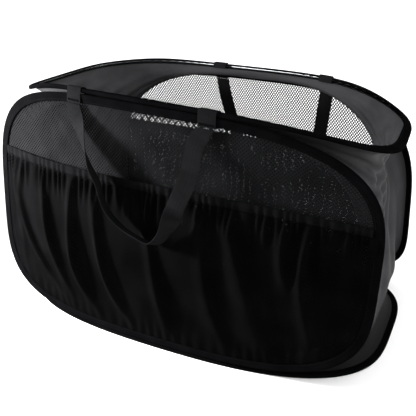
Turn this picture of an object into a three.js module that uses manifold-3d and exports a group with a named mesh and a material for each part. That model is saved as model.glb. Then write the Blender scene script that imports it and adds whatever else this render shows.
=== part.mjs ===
// A wide pop-up laundry hamper: four sprung wire rings in folded binding tape, mesh front and
// back panels with gathered pockets, fabric ends, a fabric bottom and two webbing handles.
// Millimetres. X runs along the hamper, Y from the front to the back, Z up from the floor.

import * as THREE from "three";
import { mergeVertices } from "three/addons/utils/BufferGeometryUtils.js";
import Module from "manifold-3d";

const wasm = await Module();
wasm.setup();

// Overall sizes, outside to outside
const ringLength = 600;
const baseLength = 614;
const topLength = 592;
const depth = 400;
const height = 360;

// How square each ring is: 2 is an ellipse, larger is nearer a rectangle
const panelRoundness = 3.9;
const topRoundness = 4.3;
const baseRoundness = 3.7;
const ringSteps = 48;

// The gap that neighbouring pieces keep
const clearance = 0.3;

// Binding tape, folded in a U round the wire and the cloth's edge
const tapeWidth = 12;
const tapeThickness = 6;
const tapeWall = 0.8;

// Spring wire and the sleeve that joins its two ends
const wireRadius = 1.2;
const wireSides = 6;
const wireEndGap = 2;
const sleeveWall = 0.4;
const sleeveLength = 24;
const sleeveSides = 12;

// Cloth
const meshThickness = 0.8;
const clothThickness = 1;
const panelSetBack = 0.9;

// The nets' openings, coarser than real net: how many fit along a panel, and their share of it
const netColumns = 12;
const netOpenShare = 0.7;

// End fabric: its seam on the rings and how full it hangs
const endSeam = 3;
const endCornerX = 130;
const endFullness = 22;
const endColumns = 14;
const endRows = 12;
const endRounds = 300;

// Gathered pocket and its elastic band
const bandDrop = 100;
const bandHeight = 12;
const bandWall = 0.8;
const elasticHeight = 6;
const elasticThickness = 1;
const pocketTuck = 3.5;
const mouthSlack = 8;
const bellyDepth = 6;
const foldDepth = 8;
const pocketColumns = 52;
const bandColumns = 40;
const pocketRows = 8;

// The pocket's main folds: place at the band and at the hem, as shares of the half width
const foldShares = [
  { top: -0.91, hem: -0.86, width: 0.035, rise: 0.7 },
  { top: -0.85, hem: -0.5, width: 0.04, rise: 1 },
  { top: -0.7, hem: -0.53, width: 0.035, rise: 0.8 },
  { top: -0.49, hem: -0.35, width: 0.04, rise: 1.1 },
  { top: -0.33, hem: -0.2, width: 0.035, rise: 1 },
  { top: -0.02, hem: 0.08, width: 0.04, rise: 0.8 },
  { top: 0.23, hem: 0.38, width: 0.045, rise: 0.9 },
  { top: 0.42, hem: 0.62, width: 0.06, rise: 1.1 },
  { top: 0.64, hem: 0.7, width: 0.035, rise: 0.8 },
  { top: 0.75, hem: 0.8, width: 0.035, rise: 1.2 },
  { top: 0.88, hem: 0.95, width: 0.04, rise: 0.6 },
];

// Webbing handle
const webbingWidth = 25;
const webbingThickness = 1.2;
const handleSpan = 208;
const handleShift = -31;
const handleDrop = 158;
const handleStandOff = 33;
const handleSteps = 30;
const handleTwist = THREE.MathUtils.degToRad(80);
const twistStartShare = 0.08;
const twistEndShare = 0.28;

// The hanging loop's route: across the half span, down the drop and out to the stand-off
const handleRouteShares = [
  { across: -1, down: 0, out: 0 },
  { across: -0.94, down: 0.15, out: 0.14 },
  { across: -0.72, down: 0.32, out: 0.62 },
  { across: -0.53, down: 0.5, out: 0.88 },
  { across: -0.34, down: 0.73, out: 1 },
  { across: -0.08, down: 0.91, out: 1 },
  { across: 0.2, down: 0.98, out: 1 },
  { across: 0.4, down: 1, out: 1 },
  { across: 0.56, down: 0.9, out: 1 },
  { across: 0.74, down: 0.64, out: 0.94 },
  { across: 0.88, down: 0.4, out: 0.72 },
  { across: 0.97, down: 0.15, out: 0.14 },
  { across: 1, down: 0, out: 0 },
];

// Sizes that follow from the ones above
const ringPlaneY = (depth - tapeThickness) / 2;
const ringHeight = height - 2 * (tapeThickness + clearance);
const ringCentreZ = height / 2;
const channelWidth = tapeThickness - 2 * tapeWall;
const sleeveInner = wireRadius + clearance;
const sleeveOuter = sleeveInner + sleeveWall;
const wireInset = tapeWall + clearance + sleeveOuter;
const clothInset = wireInset + sleeveOuter + clearance;
const innerInset = tapeWidth + clearance;
const bandThickness = 2 * (bandWall + clearance) + clothThickness;
const bandTopY = ringHeight / 2 - bandDrop;
const bandBottomY = bandTopY - bandHeight;
const pocketTopY = bandBottomY + pocketTuck;
const panelFaceZ = meshThickness / 2 - panelSetBack;
const anchorLift = clearance + webbingThickness;

/** A ring's outline: a superellipse about the origin of its own plane. */
class RingShape {
  constructor(length, width, roundness) {
    this.length = length;
    this.width = width;
    this.roundness = roundness;
  }

  /** The outline's point at an angle, moved inwards by the inset. */
  point(angle, inset) {
    const power = 2 / this.roundness;
    const cos = Math.cos(angle);
    const sin = Math.sin(angle);
    const x = (this.length / 2 - inset) * Math.sign(cos) * Math.abs(cos) ** power;
    const y = (this.width / 2 - inset) * Math.sign(sin) * Math.abs(sin) ** power;
    return new THREE.Vector2(x, y);
  }

  /** The whole outline, from the middle of its lower side. */
  outline(inset) {
    const points = [];
    for (let step = 0; step < ringSteps; step += 1) {
      const angle = (2 * Math.PI * step) / ringSteps - Math.PI / 2;
      points.push(this.point(angle, inset));
    }
    return points;
  }

  /** How far the outline's upper side lies from the middle at a place along X. */
  reachAt(x, inset) {
    return crossingAt(this.outline(inset), Math.abs(x), "x", "y");
  }

  /** How far the outline's end lies from the middle at a place along Y. */
  halfLengthAt(y, inset) {
    return crossingAt(this.outline(inset), Math.abs(y), "y", "x");
  }

  /** Whether a point lies within the outline moved inwards by the inset. */
  holds(point, inset) {
    return Math.abs(point.y) < this.reachAt(point.x, inset);
  }

  /** The angle at which the outline reaches a place along X. */
  angleAt(x, inset) {
    return Math.acos((x / (this.length / 2 - inset)) ** (this.roundness / 2));
  }
}

/** Where an outline's sides cross a line: the far one of its values on the other axis. */
function crossingAt(points, value, lineAxis, readAxis) {
  let reach = 0;
  points.forEach((start, index) => {
    const end = points[(index + 1) % points.length];
    const low = Math.min(start[lineAxis], end[lineAxis]);
    const high = Math.max(start[lineAxis], end[lineAxis]);
    if (value >= low && value <= high && high > low) {
      const share = (value - start[lineAxis]) / (end[lineAxis] - start[lineAxis]);
      reach = Math.max(reach, start[readAxis] + (end[readAxis] - start[readAxis]) * share);
    }
  });
  return reach;
}

const panelRing = new RingShape(ringLength, ringHeight, panelRoundness);
const topRing = new RingShape(topLength, depth, topRoundness);
const baseRing = new RingShape(baseLength, depth, baseRoundness);

/** The wire's path inside a ring, from one cut end round to the other. */
class WirePath extends THREE.Curve {
  constructor(ring) {
    super();
    this.ring = ring;
    const halfLength = ring.length / 2 - wireInset;
    this.cut = Math.asin((wireEndGap / 2 / halfLength) ** (ring.roundness / 2));
  }

  getPoint(share) {
    const sweep = 2 * (Math.PI - this.cut);
    const angle = this.cut - Math.PI / 2 + sweep * share;
    const point = this.ring.point(angle, wireInset);
    return new THREE.Vector3(point.x, point.y, 0);
  }

  /** Even steps of angle, which gather where the ring bends. */
  getUtoTmapping(share) {
    return share;
  }
}

/** A geometry with only its positions left and its shared corners merged. */
function merged(geometry) {
  geometry.deleteAttribute("normal");
  geometry.deleteAttribute("uv");
  return mergeVertices(geometry);
}

function toSolid(geometry) {
  const closed = merged(geometry);
  return new wasm.Manifold(
    new wasm.Mesh({
      numProp: 3,
      vertProperties: new Float32Array(closed.attributes.position.array),
      triVerts: new Uint32Array(closed.index.array),
    }),
  );
}

function fromSolid(solid) {
  const result = solid.getMesh();
  const geometry = new THREE.BufferGeometry();
  geometry.setAttribute("position", new THREE.BufferAttribute(result.vertProperties, 3));
  geometry.setIndex(new THREE.BufferAttribute(result.triVerts, 1));
  return geometry;
}

function cut(body, tool) {
  return fromSolid(toSolid(body).subtract(toSolid(tool)));
}

/** A named mesh; every piece of the hamper is one of these. */
function piece(name, geometry, material) {
  const closed = merged(geometry);
  closed.computeVertexNormals();
  const mesh = new THREE.Mesh(closed, material);
  mesh.name = name;
  return mesh;
}

/** A flat outline given a thickness about its own plane. */
function plate(points, thickness, ...holes) {
  const shape = new THREE.Shape(points);
  shape.holes = holes.map((holePoints) => new THREE.Path(holePoints));
  const geometry = new THREE.ExtrudeGeometry(shape, { depth: thickness, bevelEnabled: false });
  return geometry.translate(0, 0, -thickness / 2);
}

/** Turns the diagonals of a divided box's last side, so that both skins of a sheet bend alike. */
function matchSkins(geometry) {
  const skin = geometry.groups.at(-1);
  const corners = geometry.index;
  for (let first = skin.start; first < skin.start + skin.count; first += 6) {
    const [a, b, d, , c] = [0, 1, 2, 3, 4].map((step) => corners.getX(first + step));
    [a, b, c, a, c, d].forEach((corner, step) => corners.setX(first + step, corner));
  }
}

/** A closed sheet: a divided box whose corners are moved by place(across, up, side). */
function sheet(columns, rows, place) {
  const geometry = new THREE.BoxGeometry(1, 1, 1, columns, rows, 1);
  matchSkins(geometry);
  const positions = geometry.attributes.position;
  for (let index = 0; index < positions.count; index += 1) {
    const across = positions.getX(index) + 0.5;
    const up = positions.getY(index) + 0.5;
    const side = 2 * positions.getZ(index);
    const point = place(across, up, side);
    positions.setXYZ(index, point.x, point.y, point.z);
  }
  return geometry;
}

const tape = new THREE.MeshStandardMaterial({ color: 0x0c0c0d, roughness: 0.75 });
const steel = new THREE.MeshStandardMaterial({ color: 0x8e9196, roughness: 0.4, metalness: 1 });
const sleeveMetal = new THREE.MeshStandardMaterial({ color: 0xb0a890, roughness: 0.5, metalness: 1 });
const netCloth = new THREE.MeshStandardMaterial({ color: 0x1c1c1e, roughness: 0.8 });
const pocketNet = new THREE.MeshStandardMaterial({ color: 0x151517, roughness: 0.8 });
const endCloth = new THREE.MeshStandardMaterial({ color: 0x2b2b2d, roughness: 0.7 });
const elasticBand = new THREE.MeshStandardMaterial({ color: 0x101011, roughness: 0.85 });
const webbing = new THREE.MeshStandardMaterial({ color: 0x1a1a1b, roughness: 0.8 });

/** The folded tape of one ring: an annulus with a channel that opens inwards. */
function binding(name, ring) {
  const body = plate(ring.outline(0), tapeThickness, ring.outline(tapeWidth));
  const channel = plate(ring.outline(tapeWall), channelWidth, ring.outline(tapeWidth + tapeWall));
  return piece(name, cut(body, channel), tape);
}

/** The sprung wire in the tape's fold. */
function wire(name, ring) {
  const section = new THREE.Shape();
  section.setFromPoints(circlePoints(wireRadius, wireSides));
  const geometry = new THREE.ExtrudeGeometry(section, {
    steps: ringSteps,
    extrudePath: new WirePath(ring),
    bevelEnabled: false,
  });
  return piece(name, geometry, steel);
}

function circlePoints(radius, sides) {
  const points = [];
  for (let side = 0; side < sides; side += 1) {
    const angle = (2 * Math.PI * side) / sides;
    points.push(new THREE.Vector2(radius * Math.cos(angle), radius * Math.sin(angle)));
  }
  return points;
}

/** The crimped sleeve over the wire's two ends, at the middle of the ring's lower side. */
function sleeve(name, ring) {
  const geometry = plate(
    circlePoints(sleeveOuter, sleeveSides),
    sleeveLength,
    circlePoints(sleeveInner, sleeveSides),
  );
  geometry.rotateY(Math.PI / 2);
  geometry.translate(0, wireInset - ring.width / 2, 0);
  return piece(name, geometry, sleeveMetal);
}

/** One ring: its tape, its wire and the wire's sleeve, in the ring's own plane. */
function ringParts(side, ring) {
  return [
    binding(`${side}_ring_binding`, ring),
    wire(`${side}_ring_wire`, ring),
    sleeve(`${side}_ring_sleeve`, ring),
  ];
}

/** Cloth stretched across a ring, its edge in the tape's channel, with a net's openings if any. */
function stretchedCloth(name, ring, offset, material, openings = []) {
  const geometry = plate(ring.outline(clothInset), meshThickness, ...openings);
  geometry.translate(0, 0, offset);
  return piece(name, geometry, material);
}

/** A net's diamond openings above the pocket, in staggered rows that lie clear of the tape. */
function netOpenings(ring) {
  const pitch = ring.length / netColumns;
  const reach = (netOpenShare * pitch) / 2;
  const lowestY = bandTopY + clearance + reach;
  const openings = [];
  for (let row = 0; row < netColumns; row += 1) {
    for (let column = -netColumns; column <= netColumns; column += 1) {
      const stagger = row % 2 === 0 ? 0 : pitch / 2;
      const x = column * pitch + stagger;
      const y = lowestY + (row * pitch) / 2;
      const corners = [
        new THREE.Vector2(x + reach, y),
        new THREE.Vector2(x, y - reach),
        new THREE.Vector2(x - reach, y),
        new THREE.Vector2(x, y + reach),
      ];
      if (corners.every((corner) => ring.holds(corner, innerInset))) {
        openings.push(corners);
      }
    }
  }
  return openings;
}

const pocketHalfWidth = panelRing.halfLengthAt(bandTopY, innerInset);
const bandMiddleZ = panelFaceZ + clearance + bandThickness / 2;

/** How far the pocket's mouth stands off the panel at a share of its half width. */
function mouthStandOff(share) {
  return bandMiddleZ + mouthSlack * (1 - share ** 4);
}

/** The height of the pocket's folds at a share of the half width and of the way up. */
function foldRise(share, up) {
  let rise = 0;
  for (const fold of foldShares) {
    const centre = fold.hem + (fold.top - fold.hem) * up;
    rise += fold.rise * Math.exp(-(((share - centre) / fold.width) ** 2));
  }
  return rise;
}

/** The gathered pocket: sewn round the ring's lower part, full in the middle, held at the band. */
function pocket(name) {
  const hemZ = panelFaceZ + clearance + clothThickness / 2;
  const place = (across, up, side) => {
    const share = 2 * across - 1;
    const x = pocketHalfWidth * share;
    const hemY = -panelRing.reachAt(x, innerInset);
    const climb = Math.min(1, (up * pocketRows) / (pocketRows - 1));
    const y = up === 1 ? pocketTopY : hemY + (bandBottomY - hemY) * climb;
    const full = Math.sin(Math.PI * climb) * (1 - share ** 8);
    const rise = bellyDepth * full + foldDepth * foldRise(share, climb) * full ** 0.5;
    const z = hemZ + (mouthStandOff(share) - hemZ) * Math.sin((Math.PI / 2) * climb) + rise;
    return new THREE.Vector3(x, y, z + (side * clothThickness) / 2);
  };
  return piece(name, sheet(pocketColumns, pocketRows, place), pocketNet);
}

/** A strip that follows the pocket's mouth. */
function mouthStrip(bottomY, stripHeight, thickness) {
  return sheet(bandColumns, 1, (across, up, side) => {
    const share = 2 * across - 1;
    const z = mouthStandOff(share) + (side * thickness) / 2;
    return new THREE.Vector3(pocketHalfWidth * share, bottomY + stripHeight * up, z);
  });
}

/** The band over the pocket's mouth, folded over the elastic and the pocket's top edge. */
function pocketBand(name) {
  const body = mouthStrip(bandBottomY, bandHeight, bandThickness);
  const channel = mouthStrip(bandBottomY - bandWall, bandHeight, clothThickness + 2 * clearance);
  return piece(name, cut(body, channel), elasticBand);
}

function pocketElastic(name) {
  const bottomY = bandTopY - bandWall - clearance - elasticHeight;
  return piece(name, mouthStrip(bottomY, elasticHeight, elasticThickness), elasticBand);
}

const anchorFarX = handleSpan / 2 + Math.abs(handleShift) + webbingWidth / 2;
const anchorTopY = panelRing.reachAt(anchorFarX, 0);
const anchorBottomY = anchorTopY - tapeWidth;
const handleTopY = anchorBottomY - clearance;
const anchorZ = tapeThickness / 2 + clearance + webbingThickness / 2;
const handleTopZ = anchorZ + webbingThickness + clearance;

/** The webbing's sewn end on the outer face of a panel ring. */
function handleAnchor(name, x) {
  const geometry = new THREE.BoxGeometry(webbingWidth, tapeWidth, webbingThickness);
  geometry.translate(x, anchorBottomY + tapeWidth / 2, anchorZ);
  return piece(name, geometry, webbing);
}

/** The hanging loop: flat at both ends, turned edge out along its lower part. */
function handleLoop(name) {
  const points = handleRouteShares.map(
    ({ across, down, out }) =>
      new THREE.Vector3(
        handleShift + (handleSpan / 2) * across,
        handleTopY - handleDrop * down,
        handleTopZ + (handleStandOff - handleTopZ) * out,
      ),
  );
  const route = new THREE.CatmullRomCurve3(points);
  const outwards = new THREE.Vector3(0, 0, 1);
  const place = (across, up, side) => {
    const centre = route.getPointAt(across);
    const along = route.getTangentAt(across);
    const nearEnd = Math.min(across, 1 - across);
    const turned = handleTwist * THREE.MathUtils.smoothstep(nearEnd, twistStartShare, twistEndShare);
    const level = across === 0 || across === 1;
    const flat = level
      ? new THREE.Vector3(across === 0 ? 1 : -1, 0, 0)
      : new THREE.Vector3().crossVectors(outwards, along).normalize();
    const widthWay = flat.clone().applyAxisAngle(along, turned);
    const faceWay = new THREE.Vector3().crossVectors(along, widthWay).normalize();
    return centre
      .addScaledVector(widthWay, (up - 0.5) * webbingWidth)
      .addScaledVector(faceWay, (side * webbingThickness) / 2);
  };
  return piece(name, sheet(handleSteps, 1, place), webbing);
}

/** A panel side in its own plane: X along it, Y up from its middle, Z outwards. */
function panelSide(side, endNames) {
  const flat = new THREE.Group();
  flat.add(...ringParts(side, panelRing));
  const openings = netOpenings(panelRing);
  flat.add(stretchedCloth(`${side}_mesh_panel`, panelRing, -panelSetBack, netCloth, openings));
  flat.add(pocket(`${side}_pocket`));
  flat.add(pocketBand(`${side}_pocket_band`));
  flat.add(pocketElastic(`${side}_pocket_elastic`));
  flat.add(handleLoop(`${side}_handle_loop`));
  endNames.forEach((end, index) => {
    const x = handleShift + (handleSpan / 2) * (2 * index - 1);
    flat.add(handleAnchor(`${side}_${end}_handle_anchor`, x));
  });
  flat.rotation.x = Math.PI / 2;
  flat.position.set(0, -ringPlaneY, ringCentreZ);
  const turned = new THREE.Group();
  turned.add(flat);
  return turned;
}

/** A band of webbing over the top ring, above one handle anchor. */
function handleWrap(name, x) {
  const nearX = Math.max(0, Math.abs(x) - webbingWidth / 2);
  const farX = Math.abs(x) + webbingWidth / 2;
  const outerY = -topRing.reachAt(nearX, 0) - clearance;
  const innerY = clearance - topRing.reachAt(farX, tapeWidth);
  const lowZ = height - tapeThickness;
  const highZ = height + clearance;
  const profile = new THREE.Shape([
    new THREE.Vector2(outerY - webbingThickness, lowZ),
    new THREE.Vector2(outerY, lowZ),
    new THREE.Vector2(outerY, highZ),
    new THREE.Vector2(innerY, highZ),
    new THREE.Vector2(innerY, lowZ),
    new THREE.Vector2(innerY + webbingThickness, lowZ),
    new THREE.Vector2(innerY + webbingThickness, highZ + webbingThickness),
    new THREE.Vector2(outerY - webbingThickness, highZ + webbingThickness),
  ]);
  const geometry = new THREE.ExtrudeGeometry(profile, { depth: webbingWidth, bevelEnabled: false });
  geometry.translate(0, 0, -webbingWidth / 2);
  geometry.applyMatrix4(
    new THREE.Matrix4().makeBasis(
      new THREE.Vector3(0, 1, 0),
      new THREE.Vector3(0, 0, 1),
      new THREE.Vector3(1, 0, 0),
    ),
  );
  geometry.translate(x, 0, 0);
  return piece(name, geometry, webbing);
}

const endReachY = ringPlaneY - tapeThickness / 2 - clearance - clothThickness / 2;
const endLowZ = tapeThickness + clearance + clothThickness / 2;
const endHighZ = height - endLowZ;

/** A place along a ring's end, from one sewn corner round to the other. */
function ringEndPoint(ring, share) {
  const limit = ring.angleAt(endCornerX, endSeam);
  return ring.point(limit * (2 * share - 1), endSeam);
}

/** The end fabric's edge: along the base, top, front or back ring. */
function endEdgePoint(across, up) {
  const x = endCornerX;
  const y = endReachY * (2 * across - 1);
  const z = endLowZ + (endHighZ - endLowZ) * up;
  const onSide = across === 0 || across === 1;
  const onLevel = up === 0 || up === 1;
  if (onSide && onLevel) {
    return new THREE.Vector3(x, y, z);
  }
  if (onSide) {
    const end = ringEndPoint(panelRing, up);
    const endZ = THREE.MathUtils.clamp(ringCentreZ + end.y, endLowZ, endHighZ);
    return new THREE.Vector3(end.x, y, endZ);
  }
  const end = ringEndPoint(up === 0 ? baseRing : topRing, across);
  return new THREE.Vector3(end.x, THREE.MathUtils.clamp(end.y, -endReachY, endReachY), z);
}

/** The end fabric's points: drawn tight between its four edges, then eased outwards. */
function endGrid() {
  const grid = [];
  for (let column = 0; column <= endColumns; column += 1) {
    grid.push([]);
    for (let row = 0; row <= endRows; row += 1) {
      grid[column].push(endStartPoint(column / endColumns, row / endRows));
    }
  }
  for (let round = 0; round < endRounds; round += 1) {
    for (let column = 1; column < endColumns; column += 1) {
      for (let row = 1; row < endRows; row += 1) {
        grid[column][row]
          .copy(grid[column - 1][row])
          .add(grid[column + 1][row])
          .add(grid[column][row - 1])
          .add(grid[column][row + 1])
          .multiplyScalar(0.25);
      }
    }
  }
  grid.forEach((points, column) => {
    points.forEach((point, row) => {
      const middle = Math.sin((Math.PI * column) / endColumns) * Math.sin((Math.PI * row) / endRows);
      point.x += endFullness * middle;
    });
  });
  return grid;
}

function endStartPoint(across, up) {
  if (across === 0 || across === 1 || up === 0 || up === 1) {
    return endEdgePoint(across, up);
  }
  return endEdgePoint(across, 0).lerp(endEdgePoint(across, 1), up);
}

/** The way the end fabric faces at one of its points. */
function gridNormal(grid, column, row) {
  const left = grid[Math.max(column - 1, 0)][row];
  const right = grid[Math.min(column + 1, endColumns)][row];
  const below = grid[column][Math.max(row - 1, 0)];
  const above = grid[column][Math.min(row + 1, endRows)];
  const acrossWay = new THREE.Vector3().subVectors(right, left);
  const upWay = new THREE.Vector3().subVectors(above, below);
  return acrossWay.cross(upWay).normalize();
}

function endPanel(name) {
  const grid = endGrid();
  const place = (across, up, side) => {
    const column = Math.round(across * endColumns);
    const row = Math.round(up * endRows);
    const normal = gridNormal(grid, column, row);
    return grid[column][row].clone().addScaledVector(normal, (side * clothThickness) / 2);
  };
  return piece(name, sheet(endColumns, endRows, place), endCloth);
}

const hamper = new THREE.Group();

const base = new THREE.Group();
base.add(...ringParts("base", baseRing));
base.add(stretchedCloth("bottom_panel", baseRing, 0, endCloth));
base.position.z = tapeThickness / 2;
hamper.add(base);

const top = new THREE.Group();
top.add(...ringParts("top", topRing));
top.position.z = height - tapeThickness / 2;
hamper.add(top);

const front = panelSide("front", ["left", "right"]);
hamper.add(front);

const back = panelSide("back", ["right", "left"]);
back.rotation.z = Math.PI;
hamper.add(back);

for (const [side, endNames, turn] of [
  ["front", ["left", "right"], 0],
  ["back", ["right", "left"], Math.PI],
]) {
  const wraps = new THREE.Group();
  endNames.forEach((end, index) => {
    const x = handleShift + (handleSpan / 2) * (2 * index - 1);
    wraps.add(handleWrap(`${side}_${end}_handle_wrap`, x));
  });
  wraps.rotation.z = turn;
  hamper.add(wraps);
}

hamper.add(endPanel("right_end_panel"));
const leftEnd = endPanel("left_end_panel");
leftEnd.rotation.z = Math.PI;
hamper.add(leftEnd);

export default hamper;
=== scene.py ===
"""A wide pop-up laundry hamper: four sprung rings in folded tape, net sides with gathered
pockets, fabric ends, a fabric bottom and two webbing handles.

Lengths are in metres. X runs along the hamper, Y from the front to the back, Z up.
"""

from __future__ import annotations

import logging
import math
import sys
from dataclasses import dataclass, field
from enum import Enum
from typing import Callable

import bmesh
import bpy
import numpy as np
from mathutils import Matrix, Vector


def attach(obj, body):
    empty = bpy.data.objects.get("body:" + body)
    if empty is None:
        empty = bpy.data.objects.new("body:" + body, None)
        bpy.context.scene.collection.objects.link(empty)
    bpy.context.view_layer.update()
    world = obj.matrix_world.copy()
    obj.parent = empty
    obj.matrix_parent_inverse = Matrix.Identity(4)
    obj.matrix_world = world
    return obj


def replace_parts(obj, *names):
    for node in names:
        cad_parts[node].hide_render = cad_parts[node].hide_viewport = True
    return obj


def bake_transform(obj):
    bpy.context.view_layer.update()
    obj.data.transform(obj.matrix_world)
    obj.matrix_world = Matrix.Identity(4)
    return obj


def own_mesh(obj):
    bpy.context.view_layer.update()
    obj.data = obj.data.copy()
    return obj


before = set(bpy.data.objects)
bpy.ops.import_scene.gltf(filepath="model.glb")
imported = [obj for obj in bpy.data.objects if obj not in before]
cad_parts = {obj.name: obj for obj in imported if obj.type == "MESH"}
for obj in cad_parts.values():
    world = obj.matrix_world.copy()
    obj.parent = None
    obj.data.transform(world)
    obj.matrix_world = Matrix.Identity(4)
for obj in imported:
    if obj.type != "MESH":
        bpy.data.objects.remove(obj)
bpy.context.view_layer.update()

Array = np.ndarray
Place = Callable[[Array, Array, Array], Array]
Test = Callable[[Array, Array], Array]
Colour = tuple[float, float, float]
Spot = tuple[float, float, float]

log = logging.getLogger("hamper")

MILLIMETRE = 0.001
FULL_TURN = 2 * math.pi
WELD = 1e-6
TINY = 1e-12
ROUTE_STEPS = 60

# How far apart a wave pattern's ridges lie where its scale is 1
WAVE_PERIOD = FULL_TURN / 20

# Where the darker and the lighter colour stand on a ramp from 0 to 1
RAMP_ENDS = (0.3, 0.7)

# How many degrees two faces may turn before their edge shows as sharp
SMOOTH = 180
THREAD_EDGES = 90
BAND_EDGES = 60
WEB_EDGES = 40


class RingPlace(Enum):
    """The four rings, by where they are."""

    BASE = "base"
    TOP = "top"
    FRONT = "front"
    BACK = "back"


class Weave(Enum):
    """How a cloth's threads cross."""

    PLAIN = "plain"
    RIBBED = "ribbed"


@dataclass(frozen=True)
class HamperSizes:
    """The sizes that the pieces share."""

    ring_length: float = 0.600
    base_length: float = 0.614
    top_length: float = 0.592
    depth: float = 0.400
    height: float = 0.360
    panel_roundness: float = 3.9
    top_roundness: float = 4.3
    base_roundness: float = 3.7
    clearance: float = 0.0003
    tape_width: float = 0.012
    tape_thickness: float = 0.006
    tape_wall: float = 0.0008
    wire_radius: float = 0.0012
    wire_inset: float = 0.003
    sleeve_radius: float = 0.0019
    sleeve_length: float = 0.024
    cloth_inset: float = 0.0052
    panel_set_back: float = 0.0009
    handle_span: float = 0.208
    handle_shift: float = -0.031
    webbing_width: float = 0.025
    webbing_thickness: float = 0.0012

    @property
    def ring_height(self) -> float:
        """The height of the front and back rings."""
        return self.height - 2 * (self.tape_thickness + self.clearance)

    @property
    def panel_plane(self) -> float:
        """How far the front and back rings' planes lie from the middle."""
        return (self.depth - self.tape_thickness) / 2


@dataclass(frozen=True)
class RingShape:
    """A ring's outline: a superellipse about the middle of its own plane."""

    length: float
    width: float
    roundness: float
    angle_steps: int = 4000
    length_steps: int = 720

    def points(self, angles: Array, inset: Array | float) -> Array:
        """Points of the outline.

        Args:
            angles: The outline's own angles, from its right end.
            inset: How far inside the outer edge.

        Returns:
            One x and y for each angle.
        """
        power = 2 / self.roundness
        cos, sin = np.cos(angles), np.sin(angles)
        x = (self.length / 2 - inset) * np.sign(cos) * np.abs(cos) ** power
        y = (self.width / 2 - inset) * np.sign(sin) * np.abs(sin) ** power
        return np.stack([x, y], axis=-1)

    def reach(self, x: Array, inset: float) -> Array:
        """How far the outline's long sides lie from the middle at a place along X."""
        share = np.clip(np.abs(x) / (self.length / 2 - inset), 0, 1)
        return (self.width / 2 - inset) * (1 - share**self.roundness) ** (1 / self.roundness)

    def half_length(self, y: float, inset: float) -> float:
        """How far the outline's ends lie from the middle at a place along Y."""
        share = min(abs(y) / (self.width / 2 - inset), 1)
        return (self.length / 2 - inset) * (1 - share**self.roundness) ** (1 / self.roundness)

    def inside(self, x: Array, y: Array, inset: float) -> Array:
        """Whether each place lies inside the outline."""
        return np.abs(y) < self.reach(x, inset) * (np.abs(x) < self.length / 2 - inset)

    def even_angles(self, shares: Array) -> Array:
        """The angles that divide the outline into even lengths.

        Args:
            shares: Shares of the whole way round, from the middle of the lower side.

        Returns:
            The outline's angle at each share.
        """
        angles = np.linspace(-FULL_TURN / 4, 3 * FULL_TURN / 4, self.angle_steps + 1)
        points = self.points(angles, 0.0)
        steps = np.linalg.norm(np.diff(points, axis=0), axis=1)
        lengths = np.concatenate([[0.0], np.cumsum(steps)])
        return np.interp(shares * lengths[-1], lengths, angles)

    @property
    def way_round(self) -> float:
        """The outline's length."""
        points = self.points(np.linspace(0, FULL_TURN, self.length_steps + 1), 0.0)
        return float(np.linalg.norm(np.diff(points, axis=0), axis=1).sum())


@dataclass(frozen=True)
class Spring:
    """How the sprung rings draw the standing hamper out of square.

    The bow narrows its ends and widens its middle. The tip values and the droops with two sides
    move the top ring's free ends, and the foot value moves the base along X. Most other amounts
    are how far a panel's upper corner moves.
    """

    half_length: float = 0.300
    half_depth: float = 0.200
    height: float = 0.360
    tied_height: float = 0.354
    bow: float = 0.025
    unmoved_share: float = 0.3
    left_droop: float = -0.016
    right_droop: float = 0.016
    left_front_droop: float = 0.048
    left_back_droop: float = 0.024
    right_front_droop: float = 0.016
    right_back_droop: float = 0.027
    left_tip_reach: float = 0.009
    right_tip_reach: float = 0.003
    tip_narrowing: float = 0.018
    foot_shift: float = 0.006
    front_shift: float = 0.012
    back_shift: float = -0.012
    front_turn: float = -0.012
    back_turn: float = -0.0082
    front_tilt: float = -0.012
    back_tilt: float = -0.0051
    front_sway: float = 0.0081
    back_sag: float = 0.036
    front_crown: float = 0.006

    def bend(self, points: Array) -> Array:
        """Moves points of the square hamper to where the springs draw them.

        Args:
            points: Rows of x, y and z.

        Returns:
            The moved rows.
        """
        x = points[:, 0] / self.half_length
        y = points[:, 1] / self.half_depth
        z = points[:, 2] / self.height
        front = np.clip((1 - y) / 2, 0, 1)
        back = 1 - front
        tied = np.clip(points[:, 2] / self.tied_height, 0, 1)
        tip = np.abs(x) ** 3 * (1 - np.clip(y, -1, 1) ** 16) * tied**8
        along = (front * self.front_shift + back * self.back_shift) * z + self.foot_shift * (1 - z)
        reach = np.where(x < 0, -self.left_tip_reach, self.right_tip_reach) * tip
        bow = -y * self.bow * (x**2 - self.unmoved_share)
        narrowing = -y * self.tip_narrowing * (x**4 * tied**8)
        turn = (front * self.front_turn + back * self.back_turn) * x * z
        droop = -np.where(x < 0, self.left_droop, self.right_droop) * np.abs(x) ** 3 * z
        left = front * self.left_front_droop + back * self.left_back_droop
        right = front * self.right_front_droop + back * self.right_back_droop
        tip_droop = -np.where(x < 0, left, right) * tip
        tilt = (front * self.front_tilt + back * self.back_tilt) * x * z
        crown = front * self.front_crown * (1 - x**2) * z
        slack = 4 * (front * self.front_sway * x - back * self.back_sag) * z * (1 - z)
        moves = [along + reach, bow + narrowing + turn, droop + tip_droop + tilt + crown + slack]
        return points + np.column_stack(moves)


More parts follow.
